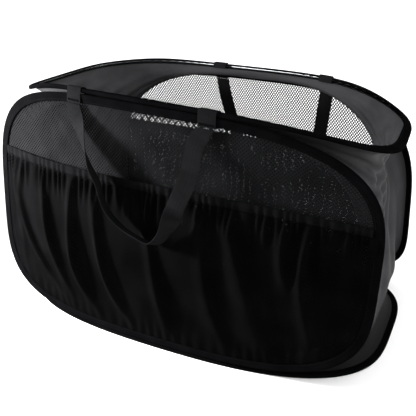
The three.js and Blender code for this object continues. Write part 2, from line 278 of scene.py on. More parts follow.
@dataclass(frozen=True)
class RingPlane:
    """Where a ring lies in the hamper."""

    place: RingPlace
    shape: RingShape
    sizes: HamperSizes
    spring: Spring = Spring()

    @property
    def side(self) -> str:
        """The ring's name."""
        return self.place.value

    def lay(self, flat: Array) -> Array:
        """Takes points from the ring's plane to the square hamper's frame.

        Args:
            flat: Rows of x, y and the way out from the plane.

        Returns:
            Rows of x, y and z in the hamper.
        """
        x, y, out = flat.T
        sizes = self.sizes
        if self.place is RingPlace.BASE:
            return np.column_stack([x, y, out + sizes.tape_thickness / 2])
        if self.place is RingPlace.TOP:
            return np.column_stack([x, y, sizes.height - sizes.tape_thickness / 2 + out])
        turn = 1 if self.place is RingPlace.FRONT else -1
        depth = -sizes.panel_plane - out
        return np.column_stack([turn * x, turn * depth, sizes.height / 2 + y])

    def settle(self, flat: Array) -> Array:
        """Takes points from the ring's plane to where the springs draw them.

        Args:
            flat: Rows of x, y and the way out from the plane.

        Returns:
            Rows of x, y and z in the standing hamper.
        """
        return self.spring.bend(self.lay(flat))


def blank_grid(columns: int, rows: int) -> bmesh.types.BMesh:
    """A divided square from 0 to 1 along both of its sides.

    Args:
        columns: Steps along its first side.
        rows: Steps along its second side.

    Returns:
        The sheet.
    """
    sheet = bmesh.new()
    bmesh.ops.create_grid(sheet, x_segments=columns, y_segments=rows, size=0.5)
    bmesh.ops.translate(sheet, verts=sheet.verts, vec=(0.5, 0.5, 0))
    return sheet


def lay_pattern(sheet: bmesh.types.BMesh, width: float, length: float) -> None:
    """Gives a unit sheet its flat cloth coordinates.

    Args:
        sheet: The sheet, while it still is the unit square.
        width: The cloth's size along the square's first side.
        length: The cloth's size along its second side.
    """
    layer = sheet.loops.layers.uv.new("cloth")
    for face in sheet.faces:
        for loop in face.loops:
            loop[layer].uv = (loop.vert.co.x * width, loop.vert.co.y * length)


def cut_away(sheet: bmesh.types.BMesh, keep: Test) -> None:
    """Deletes the faces of a sheet whose middles a test doesn't keep.

    Args:
        sheet: The sheet.
        keep: Tells from x and y which faces stay.
    """
    middles = np.array([face.calc_center_median() for face in sheet.faces])
    kept = keep(middles[:, 0], middles[:, 1])
    dropped = [face for face, stays in zip(sheet.faces, kept) if not stays]
    bmesh.ops.delete(sheet, geom=dropped, context="FACES")


def move_points(sheet: bmesh.types.BMesh, place: Place) -> None:
    """Moves every corner of a sheet to the place that its coordinates name.

    Args:
        sheet: The sheet.
        place: Gives the new points from the old x, y and z.
    """
    points = np.array([corner.co for corner in sheet.verts])
    for corner, point in zip(sheet.verts, place(*points.T)):
        corner.co = point


def swept(
    along_steps: int,
    around_steps: int,
    place: Place,
    size: tuple[float, float],
    closed: bool,
) -> bmesh.types.BMesh:
    """A tube: a sheet whose first side runs along it and whose second side goes round it.

    Args:
        along_steps: Steps along the tube.
        around_steps: Steps round its section.
        place: Gives the points for shares along and around.
        size: The tube's length and the way round its section, for the pattern.
        closed: Whether the tube's two ends meet.

    Returns:
        The closed tube.
    """
    tube = blank_grid(along_steps, around_steps)
    lay_pattern(tube, *size)
    move_points(tube, place)
    bmesh.ops.remove_doubles(tube, verts=tube.verts, dist=WELD)
    if not closed:
        ends = [edge for edge in tube.edges if edge.is_boundary]
        bmesh.ops.holes_fill(tube, edges=ends)
    bmesh.ops.recalc_face_normals(tube, faces=tube.faces)
    return tube


def finished_mesh(
    name: str, sheet: bmesh.types.BMesh, finish: bpy.types.Material
) -> bpy.types.Mesh:
    """Turns a bmesh, which is used up, into a mesh of one material.

    Args:
        name: The mesh's name.
        sheet: The bmesh.
        finish: Its material.

    Returns:
        The mesh.
    """
    mesh = bpy.data.meshes.new(name)
    sheet.to_mesh(mesh)
    sheet.free()
    mesh.materials.append(finish)
    return mesh


def add_object(name: str, data: bpy.types.ID) -> bpy.types.Object:
    """Puts a mesh, a light or a camera in the scene.

    Args:
        name: The object's name.
        data: What it shows or holds.

    Returns:
        The new object.
    """
    new_object = bpy.data.objects.new(name, data)
    bpy.context.scene.collection.objects.link(new_object)
    return new_object


def make_piece(
    name: str,
    sheet: bmesh.types.BMesh,
    finish: bpy.types.Material,
    sharp_degrees: float = 50,
) -> bpy.types.Object:
    """Turns a finished bmesh into a named, dressed piece.

    Args:
        name: The piece's name.
        sheet: Its mesh, which is used up.
        finish: Its material.
        sharp_degrees: Edges that turn more than this stay sharp.

    Returns:
        The new object.
    """
    mesh = finished_mesh(name, sheet, finish)
    mesh.polygons.foreach_set("use_smooth", [True] * len(mesh.polygons))
    mesh.set_sharp_from_angle(angle=math.radians(sharp_degrees))
    piece = add_object(name, mesh)
    log.info("made %s with %d faces", name, len(mesh.polygons))
    return piece


class Recipe:
    """The nodes of one material."""

    def __init__(self, name: str, colour: Colour, roughness: float) -> None:
        """Starts a material.

        Args:
            name: The material's name.
            colour: Its linear base colour.
            roughness: The shader's roughness.
        """
        self.material = bpy.data.materials.new(name)
        self.material.use_nodes = True
        self.material.diffuse_color = (*colour, 1)
        self.tree = self.material.node_tree
        self.shader = self.tree.nodes["Principled BSDF"]
        self.shader.inputs["Base Color"].default_value = (*colour, 1)
        self.shader.inputs["Roughness"].default_value = roughness

    def add(self, kind: str, inputs: dict | None = None, **settings: object) -> bpy.types.Node:
        """Adds a node.

        Args:
            kind: The node's type name.
            inputs: Values or sockets for its inputs, by name or place.
            settings: Its other properties.

        Returns:
            The node.
        """
        node = self.tree.nodes.new(kind)
        for name, value in settings.items():
            setattr(node, name, value)
        for name, value in (inputs or {}).items():
            if isinstance(value, bpy.types.NodeSocket):
                self.tree.links.new(value, node.inputs[name])
            else:
                node.inputs[name].default_value = value
        return node

    def set_shader(self, **values: float) -> None:
        """Sets constant values on the shader, by socket names with underscores for spaces."""
        for name, value in values.items():
            self.shader.inputs[name.replace("_", " ")].default_value = value

    def feed(self, name: str, socket: bpy.types.NodeSocket) -> None:
        """Links a socket to one of the shader's inputs."""
        self.tree.links.new(socket, self.shader.inputs[name])

    def calculate(self, operation: str, first: object, second: object) -> bpy.types.NodeSocket:
        """The result of a two-value Math node."""
        node = self.add("ShaderNodeMath", {0: first, 1: second}, operation=operation)
        return node.outputs[0]

    def wave(self, place: bpy.types.NodeSocket, pitch: float, way: str) -> bpy.types.NodeSocket:
        """Even ridges across a way, one for each pitch.

        Args:
            place: The coordinates.
            pitch: The way from one ridge to the next.
            way: X or Y.

        Returns:
            How high the ridges stand, from 0 to 1.
        """
        inputs = {"Vector": place, "Scale": WAVE_PERIOD / pitch}
        node = self.add("ShaderNodeTexWave", inputs, wave_type="BANDS", bands_direction=way)
        return node.outputs["Fac"]

    def noise(self, place: bpy.types.NodeSocket, size: float, detail: float) -> bpy.types.NodeSocket:
        """Soft noise whose lumps are about a size across."""
        inputs = {"Vector": place, "Scale": 1 / size, "Detail": detail}
        return self.add("ShaderNodeTexNoise", inputs).outputs["Fac"]

    def vary_colour(self, share: bpy.types.NodeSocket, dark: Colour, light: Colour) -> None:
        """Lets the base colour run from dark to light with a share.

        Args:
            share: How light each place is, from 0 to 1.
            dark: The darker colour.
            light: The lighter colour.
        """
        ramp = self.add("ShaderNodeValToRGB", {"Fac": share})
        stops = zip(ramp.color_ramp.elements, RAMP_ENDS, (dark, light))
        for element, position, colour in stops:
            element.position = position
            element.color = (*colour, 1)
        self.feed("Base Color", ramp.outputs["Color"])

    def paint_foot_shade(self, colour: Colour, height: float, edge: float) -> None:
        """Paints shade over the cloth's foot: the colour turns darker towards the floor.

        Args:
            colour: The painted shade's colour.
            height: How far above the floor the painted shade ends.
            edge: Half the width over which its edge fades.
        """
        # Painted shade: the darker colour is mixed in below the given height
        place = self.add("ShaderNodeTexCoord").outputs["Object"]
        rise = self.add("ShaderNodeSeparateXYZ", {"Vector": place}).outputs["Z"]
        limits = {"Value": rise, "From Min": height - edge, "From Max": height + edge}
        share = self.add("ShaderNodeMapRange", limits).outputs["Result"]
        cloth = self.shader.inputs["Base Color"].links[0].from_socket
        inputs = {"Factor": share, 6: (*colour, 1), 7: cloth}
        mix = self.add("ShaderNodeMix", inputs, data_type="RGBA")
        self.feed("Base Color", mix.outputs[2])

    def vary_roughness(self, share: bpy.types.NodeSocket, low: float, high: float) -> None:
        """Lets the roughness run between two values with a share."""
        inputs = {"Value": share, "To Min": low, "To Max": high}
        self.feed("Roughness", self.add("ShaderNodeMapRange", inputs).outputs["Result"])

    def raise_surface(self, share: bpy.types.NodeSocket, height: float, strength: float) -> None:
        """Bumps the surface by a share of a height."""
        inputs = {"Height": share, "Distance": height, "Strength": strength}
        self.feed("Normal", self.add("ShaderNodeBump", inputs).outputs["Normal"])


def shade(colour: Colour, factor: float) -> Colour:
    """A colour made lighter or darker by a factor."""
    return (colour[0] * factor, colour[1] * factor, colour[2] * factor)


@dataclass(frozen=True)
class WovenFinish:
    """Woven cloth with a pattern that follows its flat coordinates."""

    name: str
    colour: Colour
    weave: Weave
    pitch: float
    relief: float
    roughness: float
    specular: float = 0.0
    patchiness: float = 0.25
    patch_size: float = 0.03
    weft_share: float = 0.35
    fibre_tone: float = 0.3
    fibre_relief: float = 0.5
    gloss_change: float = 0.08
    bump: float = 0.6
    # Painted shade at the cloth's foot: its colour, how high it reaches and how its edge fades
    facing: Colour | None = None
    foot_shade_height: float = 0.03
    foot_shade_edge: float = 0.004

    def build(self) -> bpy.types.Material:
        """Makes the material.

        Returns:
            The material.
        """
        recipe = Recipe(self.name, self.colour, self.roughness)
        recipe.set_shader(Specular_IOR_Level=self.specular)
        cloth = recipe.add("ShaderNodeUVMap", uv_map="cloth").outputs["UV"]
        warp = recipe.wave(cloth, self.pitch, "X")
        weft = recipe.wave(cloth, self.pitch, "Y")
        if self.weave is Weave.PLAIN:
            threads = recipe.calculate("MAXIMUM", warp, weft)
        else:
            threads = recipe.calculate("MULTIPLY_ADD", weft, self.weft_share)
            recipe.tree.links.new(warp, threads.node.inputs[2])
        patches = recipe.noise(cloth, self.patch_size, 3)
        fibres = recipe.noise(cloth, self.pitch * 2, 2)
        flecks = recipe.calculate("MULTIPLY", fibres, self.fibre_tone)
        tone = recipe.calculate("ADD", patches, flecks)
        tone = recipe.calculate("SUBTRACT", tone, self.fibre_tone / 2)
        dark = shade(self.colour, 1 - self.patchiness)
        light = shade(self.colour, 1 + self.patchiness)
        recipe.vary_colour(tone, dark, light)
        # Painted shade: the cloth turns darker towards the floor
        if self.facing:
            recipe.paint_foot_shade(self.facing, self.foot_shade_height, self.foot_shade_edge)
        least, most = self.roughness - self.gloss_change, self.roughness + self.gloss_change
        recipe.vary_roughness(fibres, least, most)
        fuzz = recipe.calculate("MULTIPLY", fibres, self.fibre_relief)
        recipe.raise_surface(recipe.calculate("ADD", threads, fuzz), self.relief, self.bump)
        return recipe.material


@dataclass(frozen=True)
class ThreadFinish:
    """Fine synthetic thread: the strands of the nets and the sewing thread."""

    name: str
    colour: Colour
    roughness: float = 0.6
    fibre_size: float = 0.0006
    patch_size: float = 0.05
    fibre_tone: float = 0.5
    patchiness: float = 0.3
    bump: float = 0.5

    def build(self) -> bpy.types.Material:
        """Makes the material.

        Returns:
            The material.
        """
        recipe = Recipe(self.name, self.colour, self.roughness)
        recipe.set_shader(Specular_IOR_Level=0)
        place = recipe.add("ShaderNodeTexCoord").outputs["Object"]
        fibres = recipe.noise(place, self.fibre_size, 2)
        patches = recipe.noise(place, self.patch_size, 2)
        flecks = recipe.calculate("MULTIPLY", fibres, self.fibre_tone)
        tone = recipe.calculate("ADD", flecks, patches)
        tone = recipe.calculate("SUBTRACT", tone, self.fibre_tone / 2)
        dark = shade(self.colour, 1 - self.patchiness)
        light = shade(self.colour, 1 + self.patchiness)
        recipe.vary_colour(tone, dark, light)
        recipe.raise_surface(fibres, self.fibre_size / 4, self.bump)
        return recipe.material


@dataclass(frozen=True)
class SteelFinish:
    """Drawn or plated steel with fine marks."""

    name: str
    colour: Colour
    roughness: float
    mark_size: float = 0.002
    mark_depth: float = 0.00005
    shades: tuple[float, float] = (0.8, 1.1)
    gloss_changes: tuple[float, float] = (-0.1, 0.15)
    bump: float = 0.3

    def build(self) -> bpy.types.Material:
        """Makes the material.

        Returns:
            The material.
        """
        recipe = Recipe(self.name, self.colour, self.roughness)
        recipe.set_shader(Metallic=1)
        place = recipe.add("ShaderNodeTexCoord").outputs["Object"]
        marks = recipe.noise(place, self.mark_size, 3)
        recipe.vary_colour(marks, *(shade(self.colour, factor) for factor in self.shades))
        recipe.vary_roughness(marks, *(self.roughness + change for change in self.gloss_changes))
        recipe.raise_surface(marks, self.mark_depth, self.bump)
        return recipe.material


class Finishes:
    """The hamper's materials."""

    def __init__(self) -> None:
        """Makes every material once."""
        black = (0.0016, 0.0016, 0.0018)
        tape = WovenFinish(
            "folded_tape", black, Weave.RIBBED, pitch=0.0009, relief=0.0002, roughness=0.9
        )
        end_cloth = WovenFinish(
            "end_cloth",
            (0.022, 0.022, 0.0235),
            Weave.PLAIN,
            pitch=0.0008,
            relief=0.0001,
            roughness=0.6,
            specular=0.04,
            patchiness=0.2,
            # Painted shade: black near the floor, over the end cloth's foot and the bottom cloth
            facing=black,
        )
        elastic = WovenFinish(
            "elastic_band",
            (0.0026, 0.0026, 0.0028),
            Weave.RIBBED,
            pitch=0.0012,
            relief=0.0002,
            roughness=0.9,
        )
        webbing = WovenFinish(
            "webbing",
            (0.006, 0.006, 0.0065),
            Weave.RIBBED,
            pitch=0.0016,
            relief=0.0004,
            roughness=0.85,
        )
        self.tape = tape.build()
        self.panel_net = ThreadFinish("panel_net", (0.0065, 0.0065, 0.007)).build()
        self.pocket_net = ThreadFinish("pocket_net", (0.0015, 0.0015, 0.0016)).build()
        self.end_cloth = end_cloth.build()
        self.elastic = elastic.build()
        self.webbing = webbing.build()
        self.thread = ThreadFinish("sewing_thread", (0.003, 0.003, 0.0033)).build()
        self.wire = SteelFinish("spring_steel", (0.45, 0.46, 0.48), 0.35).build()
        self.sleeve = SteelFinish("plated_sleeve", (0.55, 0.52, 0.45), 0.4).build()


@dataclass(frozen=True)
class Ring:
    """One ring: folded tape sewn round the wire, with two rows of stitches."""

    plane: RingPlane
    finishes: Finishes
    lip_half: float = 0.0022
    nose_inset: float = 0.003
    outer_skin_share: float = 0.6
    tape_steps: int = 220
    section_steps: int = 30
    pucker: float = 0.0003
    pucker_pitch: float = 0.016
    pucker_drift: float = 0.8
    stitch_length: float = 0.0042
    stitch_inset: float = 0.0098
    thread_radius: float = 0.00035
    stitch_steps: int = 4
    stitch_dip: float = 1.4
    thread_sides: int = 5
    wire_steps: int = 180
    wire_sides: int = 10
    crimp_share: float = 0.15
    sleeve_steps: int = 24
    sleeve_sides: int = 16

    def half_thickness(self, inset: Array, wall: float) -> Array:
        """Half the folded tape's thickness.

        Args:
            inset: How far inside the ring's outer edge.
            wall: How far inside the tape's outer skin.

        Returns:
            The way from the ring's plane to the skin.
        """
        sizes = self.plane.sizes
        nose = sizes.tape_thickness / 2 - wall
        within = inset - wall
        rounded = np.sqrt(np.clip(nose**2 - (nose - within) ** 2, 0, None))
        taper = np.clip((within - nose) / (sizes.tape_width - self.nose_inset), 0, 1)
        drawn_in = (self.lip_half - wall) - nose
        return np.where(within < nose, rounded, nose + drawn_in * taper * (2 - taper))

    def section(self, around: Array) -> tuple[Array, Array, Array]:
        """The folded tape's section: out along one skin and back along the other.

        Args:
            around: Shares of the way round the section.

        Returns:
            The inset, the way out from the plane, and how much of the lip each point has.
        """
        sizes = self.plane.sizes
        outer = around <= self.outer_skin_share
        returning = (1 - around) / (1 - self.outer_skin_share)
        share = np.where(outer, around / self.outer_skin_share, returning)
        wall = np.where(outer, 0.0, sizes.tape_wall)
        lip = (1 + np.cos(FULL_TURN * share)) / 2
        inset = wall + (sizes.tape_width - wall) * lip
        outer_half = self.half_thickness(inset, 0.0)
        half = np.where(outer, outer_half, self.half_thickness(inset, sizes.tape_wall))
        return inset, half * np.sign(0.5 - share), lip

    def tape_place(self, along: Array, around: Array, _: Array) -> Array:
        """The tape's points, with the small puckers of its sewn lips.

        Args:
            along: Shares of the way round the ring.
            around: Shares of the way round the tape's section.

        Returns:
            The points in the standing hamper.
        """
        inset, out, lip = self.section(around)
        angles = self.plane.shape.even_angles(along)
        outline = self.plane.shape.points(angles, inset)
        turns = round(self.plane.shape.way_round / self.pucker_pitch)
        drift = self.pucker_drift * np.sin(3 * FULL_TURN * along)
        out = out + self.pucker * np.sin(FULL_TURN * (turns * along + drift)) * lip**2
        return self.plane.settle(np.column_stack([outline, out]))

    def make_tape(self) -> bpy.types.Object:
        """The folded tape.

        Returns:
            The piece.
        """
        shape = self.plane.shape
        size = (shape.way_round, 4 * self.plane.sizes.tape_width)
        tube = swept(self.tape_steps, self.section_steps, self.tape_place, size, True)
        piece = make_piece(f"{self.plane.side}_folded_tape", tube, self.finishes.tape)
        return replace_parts(piece, f"{self.plane.side}_ring_binding")

    def make_stitches(self, face: int) -> bpy.types.Object:
        """A row of lockstitches on one face of the tape.

        Args:
            face: 1 for the outer face and -1 for the inner one.

        Returns:
            The thread, which dips into the tape between its stitches.
        """
        shape = self.plane.shape
        stitches = round(shape.way_round / self.stitch_length)
        lift = float(self.half_thickness(np.array(self.stitch_inset), 0.0))

        def place(along: Array, around: Array, _: Array) -> Array:
            """The thread's points."""
            dip = np.abs(np.sin(math.pi * stitches * along)) ** 0.5
            centre = lift + self.thread_radius * (self.stitch_dip * dip - 1)
            across = self.thread_radius * np.cos(FULL_TURN * around)
            above = self.thread_radius * np.sin(FULL_TURN * around)
            outline = shape.points(shape.even_angles(along), self.stitch_inset + across)
            return self.plane.settle(np.column_stack([outline, face * (centre + above)]))

        size = (shape.way_round, FULL_TURN * self.thread_radius)
        tube = swept(stitches * self.stitch_steps, self.thread_sides, place, size, True)
        row = "outer" if face > 0 else "inner"
        name = f"{self.plane.side}_{row}_stitches"
        return make_piece(name, tube, self.finishes.thread, THREAD_EDGES)

    def make_wire(self) -> bpy.types.Object:
        """The sprung wire in the tape's fold.

        Returns:
            The piece.
        """
        shape = self.plane.shape
        radius = self.plane.sizes.wire_radius

        def place(along: Array, around: Array, _: Array) -> Array:
            """The wire's points."""
            inset = self.plane.sizes.wire_inset + radius * np.cos(FULL_TURN * around)
            outline = shape.points(shape.even_angles(along), inset)
            out = radius * np.sin(FULL_TURN * around)
            return self.plane.settle(np.column_stack([outline, out]))

        size = (shape.way_round, FULL_TURN * radius)
        tube = swept(self.wire_steps, self.wire_sides, place, size, True)
        piece = make_piece(f"{self.plane.side}_sprung_wire", tube, self.finishes.wire)
        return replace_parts(piece, f"{self.plane.side}_ring_wire")

    def make_sleeve(self) -> bpy.types.Object:
        """The sleeve that is crimped twice over the wire's cut ends, at the lower side's middle.

        Returns:
            The piece.
        """
        sizes = self.plane.sizes

        def place(along: Array, around: Array, _: Array) -> Array:
            """The sleeve's points."""
            x = sizes.sleeve_length * (along - 0.5)
            crimp = self.crimp_share * np.sin(FULL_TURN * along) ** 8
            radius = sizes.sleeve_radius * (1 - crimp)
            y = -self.plane.shape.reach(x, sizes.wire_inset) + radius * np.cos(FULL_TURN * around)
            out = radius * np.sin(FULL_TURN * around)
            return self.plane.settle(np.column_stack([x, y, out]))

        size = (sizes.sleeve_length, FULL_TURN * sizes.sleeve_radius)
        tube = swept(self.sleeve_steps, self.sleeve_sides, place, size, False)
        name = f"{self.plane.side}_crimped_sleeve"
        piece = make_piece(name, tube, self.finishes.sleeve)
        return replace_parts(piece, f"{self.plane.side}_ring_sleeve")

    def build(self) -> list[bpy.types.Object]:
        """Makes the ring's pieces."""
        stitches = [self.make_stitches(1), self.make_stitches(-1)]
        return [self.make_tape(), *stitches, self.make_wire(), self.make_sleeve()]


@dataclass(frozen=True)
class NetCloth:
    """Knitted net with rhombic holes."""

    cell_width: float = 0.0049
    cell_height: float = 0.0052
    hole_share: float = 0.56
    crown: float = 0.0005

    @property
    def thread_share(self) -> float:
        """How much of the net is thread."""
        return 1 - self.hole_share**2

    def sheet(
        self,
        width: float,
        height: float,
        keep: Test,
        place: Place,
    ) -> bmesh.types.BMesh:
        """A net whose flat form lies about the origin.

        Args:
            width: The flat net's width.
            height: Its height.
            keep: Tells which cells stay, by their middles.
            place: Moves the flat net's points, with the threads' crown as the third value.

        Returns:
            The net.
        """
        cells = math.ceil(width / self.cell_width + height / self.cell_height) + 1
        net = bmesh.new()
        bmesh.ops.create_grid(net, x_segments=cells, y_segments=cells, size=0.5)
        eighth = Matrix.Rotation(FULL_TURN / 8, 3, "Z")
        bmesh.ops.rotate(net, verts=net.verts, cent=(0, 0, 0), matrix=eighth)
        stretch = cells / math.sqrt(2)
        spread = (self.cell_width * stretch, self.cell_height * stretch, 1)
        bmesh.ops.scale(net, verts=net.verts, vec=spread)
        cut_away(net, keep)
        holes = list(net.faces)
        bmesh.ops.translate(net, verts=net.verts, vec=(0, 0, self.crown))
        side = math.hypot(self.cell_width, self.cell_height) / 2
        inner_radius = self.cell_width * self.cell_height / (4 * side)
        bmesh.ops.inset_individual(
            net,
            faces=holes,
            thickness=inner_radius * (1 - self.hole_share),
            depth=-self.crown,
            use_even_offset=True,
        )
        bmesh.ops.delete(net, geom=holes, context="FACES")
        move_points(net, place)
        return net


@dataclass(frozen=True)
class NetPanel:
    """The net that a front or back ring holds taut."""

    plane: RingPlane
    finishes: Finishes
    net: NetCloth = NetCloth()
    slack: float = 0.002
    outline_share: float = 0.95

    def place(self, x: Array, y: Array, crown: Array) -> Array:
        """The panel's points, slightly slack in the middle.

        Args:
            x: Places along the flat net.
            y: Places up it.
            crown: How far its threads stand out.

        Returns:
            The points in the standing hamper.
        """
        shape = self.plane.shape
        across = np.clip(1 - (2 * x / shape.length) ** 2, 0, 1)
        bulge = across * np.clip(1 - (2 * y / shape.width) ** 2, 0, 1)
        out = crown - self.plane.sizes.panel_set_back + self.slack * bulge
        return self.plane.settle(np.column_stack([x, y, out]))

    def build(self) -> bpy.types.Object:
        """Makes the panel.

        Returns:
            The piece.
        """
        side, shape = self.plane.side, self.plane.shape
        inset = self.plane.sizes.cloth_inset

        def keep(x: Array, y: Array) -> Array:
            """Whether each cell lies inside the tape."""
            return shape.inside(x, y, inset)

        sheet = self.net.sheet(shape.length, shape.width, keep, self.place)
        piece = make_piece(f"{side}_net", sheet, self.finishes.panel_net, SMOOTH)
        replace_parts(piece, f"{side}_mesh_panel")
        return piece


@dataclass(frozen=True)
class PocketFold:
    """One long fold of a pocket, in shares of the pocket's half width.

    It runs from top at the band past middle to hem at the ring, or ends at a foot above the hem,
    which is a share of the way up. Its width is a share too, and its rise a share of the pocket's
    fold height.
    """

    top: float
    middle: float
    hem: float
    width: float = 0.03
    rise: float = 1.0
    foot: float = -0.3

    def centre(self, climb: Array) -> Array:
        """Where the fold lies at a share of the way from the hem to the band.

        Args:
            climb: Shares of the way from the hem to the band.

        Returns:
            Shares of the pocket's half width.
        """
        low = 2 * (climb - 0.5) * (climb - 1) * self.hem
        mid = 4 * climb * (1 - climb) * self.middle
        high = 2 * climb * (climb - 0.5) * self.top
        return low + mid + high


@dataclass(frozen=True)
class Pocket:
    """A gathered net pocket: sewn round the ring's lower part and held by an elastic band."""

    plane: RingPlane
    finishes: Finishes
    net: NetCloth
    band_top: float = 0.0737
    band_height: float = 0.012
    band_half: float = 0.0016
    band_middle: float = 0.0014
    mouth_slack: float = 0.008
    belly: float = 0.006
    fold_height: float = 0.013
    hem_out: float = 0.0003
    hem_inset: float = 0.009
    tuck: float = 0.005
    gather: float = 1.28
    ruffle_height: float = 0.005
    ruffles: int = 48
    ruffle_reach: float = 0.045
    ruffle_drifts: tuple[tuple[float, float, float], ...] = ((0.35, 3.1, 0.0), (0.2, 7.3, 1.0))
    hem_waves: int = 17
    hem_drift: tuple[float, float] = (0.3, 11.0)
    fold_sway: float = 0.008
    fold_widths: tuple[float, float] = (1.25, 0.8)
    fold_lean: float = 0.35
    fold_swell: float = 0.25
    foot_fade: float = 0.25
    end_hold: int = 8
    band_columns: int = 320
    band_section_steps: int = 16
    band_ripple: float = 0.0007
    band_flare: float = 0.8
    sag: float = 0.0025
    elastic_half_height: float = 0.003
    elastic_lift: float = 0.001
    stitch_length: float = 0.0035
    stitch_lift: float = 0.0025
    stitch_steps: int = 4
    stitch_lean: float = 1.6
    stitch_seat: float = 0.85
    stitch_sink: float = 0.6
    thread_radius: float = 0.0003
    thread_sides: int = 5
    outline_share: float = 0.9
    folds: tuple[PocketFold, ...] = (
        PocketFold(-0.925, -0.905, -0.86, 0.028, 0.8),
        PocketFold(-0.85, -0.83, -0.47, 0.032, 1.0),
        PocketFold(-0.7, -0.63, -0.5, 0.028, 0.8),
        PocketFold(-0.49, -0.475, -0.33, 0.03, 1.15),
        PocketFold(-0.34, -0.29, -0.11, 0.028, 1.0),
        PocketFold(-0.02, 0.012, 0.1, 0.028, 0.85),
        PocketFold(0.23, 0.3, 0.4, 0.035, 0.9),
        PocketFold(0.4, 0.48, 0.64, 0.052, 1.15),
        PocketFold(0.56, 0.58, 0.6, 0.025, 0.6, 0.75),
        PocketFold(0.635, 0.68, 0.72, 0.028, 0.9, 0.5),
        PocketFold(0.736, 0.76, 0.8, 0.026, 1.2),
        PocketFold(0.812, 0.85, 0.95, 0.028, 0.8, 0.5),
        PocketFold(0.88, 0.93, 0.97, 0.025, 0.7),
    )

    @property
    def half_width(self) -> float:
        """Half the pocket's width at its band."""
        return self.plane.shape.half_length(self.band_top, self.plane.sizes.tape_width)

    @property
    def band_bottom(self) -> float:
        """The height of the band's lower edge, from the panel's middle."""
        return self.band_top - self.band_height

    def hem(self, x: Array) -> Array:
        """The height of the sewn hem at a place along X."""
        return -self.plane.shape.reach(x, self.hem_inset)

    def stand_off(self, share: Array) -> Array:
        """How far the band stands off the panel at a share of the half width."""
        return self.band_middle + self.mouth_slack * (1 - np.clip(np.abs(share), 0, 1) ** 4)

    def ripple(self, share: Array) -> Array:
        """The band's small uneven gathers, from -1 to 1.

        Args:
            share: Shares of the half width.

        Returns:
            How far the band leans out there.
        """
        turns = self.ruffles / 2 * share
        for drift, waves, start in self.ruffle_drifts:
            turns = turns + drift * np.sin(FULL_TURN * waves * share + start)
        return np.sin(FULL_TURN * turns)

    def fold_rise(self, share: Array, climb: Array) -> Array:
        """The height of the long folds.

        Args:
            share: Shares of the half width.
            climb: Shares of the way from the hem to the band.

        Returns:
            The folds' height, where 1 is a full fold.
        """
        rise = np.zeros_like(share)
        at_hem, at_band = self.fold_widths
        for fold in self.folds:
            bend = self.fold_sway * np.sin(2.2 * math.pi * climb + 9 * fold.top)
            width = fold.width * (at_hem + (at_band - at_hem) * climb)
            offset = (share - fold.centre(climb) - bend) / width
            skewed = offset + self.fold_lean * offset**2 / (1 + offset**2)
            swell = 0.85 + self.fold_swell * np.sin(FULL_TURN * climb + 4 * fold.hem)
            reach = smooth_step(climb, fold.foot, fold.foot + self.foot_fade)
            rise += fold.rise * swell * reach * np.exp(-(skewed**2))
        return rise

    def surface(self, x: Array, y: Array) -> Array:
        """How far the pocket stands off the panel's plane.

        Args:
            x: Places along the panel's plane.
            y: Heights from its middle.

        Returns:
            The way out from the plane.
        """
        share = np.clip(x / self.half_width, -1, 1)
        hem = self.hem(x)
        height = np.maximum(self.band_bottom - hem, MILLIMETRE)
        climb = np.clip((y - hem) / height, 0, 1)
        ends = 1 - np.abs(share) ** self.end_hold
        full = np.sin(math.pi * climb) * ends
        rooted = np.sin(math.pi * np.clip(climb, 0, 0.5)) * np.cos(math.pi / 2 * climb**6) * ends
        mouth = (self.stand_off(share) - self.hem_out) * np.sin(math.pi / 2 * climb)
        below = np.clip((self.band_bottom - y) / self.ruffle_reach, 0, 1)
        ruffle = self.ruffle_height * self.ripple(share) * (1 - below) ** 1.5 * below**0.35
        above_hem = np.clip((y - hem) / self.ruffle_reach, 0, 1)
        drift, pace = self.hem_drift
        hem_wave = np.sin(FULL_TURN * (self.hem_waves * share + drift * np.sin(pace * share)))
        hem_ruffle = 0.5 * self.ruffle_height * hem_wave * (1 - above_hem) ** 2 * above_hem**0.5
        folds = self.fold_height * self.fold_rise(share, climb) * rooted
        sag = self.sag * np.sin(FULL_TURN * (1.3 * climb + 2.1 * share)) * full
        out = self.hem_out + mouth + self.belly * full + folds + ruffle + hem_ruffle + sag
        return np.maximum(out, self.hem_out)

    def net_place(self, x: Array, y: Array, crown: Array) -> Array:
        """The gathered net's points.

        Args:
            x: Places along the flat net.
            y: Heights from the panel's middle.
            crown: How far its threads stand out.

        Returns:
            The points in the standing hamper.
        """
        drawn = x / self.gather
        out = self.surface(drawn, y) + crown
        return self.plane.settle(np.column_stack([drawn, y, out]))

    def make_net(self) -> bpy.types.Object:
        """The pocket's net.

        Returns:
            The piece.
        """
        limit = self.band_bottom + self.tuck
        width = 2 * self.half_width * self.gather
        hem_end = self.plane.shape.length / 2 - self.hem_inset

        def keep(x: Array, y: Array) -> Array:
            """Whether each cell lies between the hem and the band."""
            drawn = x / self.gather
            return (np.abs(drawn) < hem_end) & (y < limit) & (y > self.hem(drawn))

        sheet = self.net.sheet(width, self.plane.shape.width, keep, self.net_place)
        side = self.plane.side
        net = self.finishes.pocket_net
        piece = make_piece(f"{side}_pocket_net", sheet, net, SMOOTH)
        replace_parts(piece, f"{side}_pocket")
        return piece

    def strip(self, name: str, middle: float, half_height: float, half: float) -> bpy.types.Object:
        """A flattened elastic tube along the pocket's mouth.

        Args:
            name: The piece's name.
            middle: The height of its middle from the panel's.
            half_height: Half its height.
            half: Half its thickness.

        Returns:
            The piece.
        """

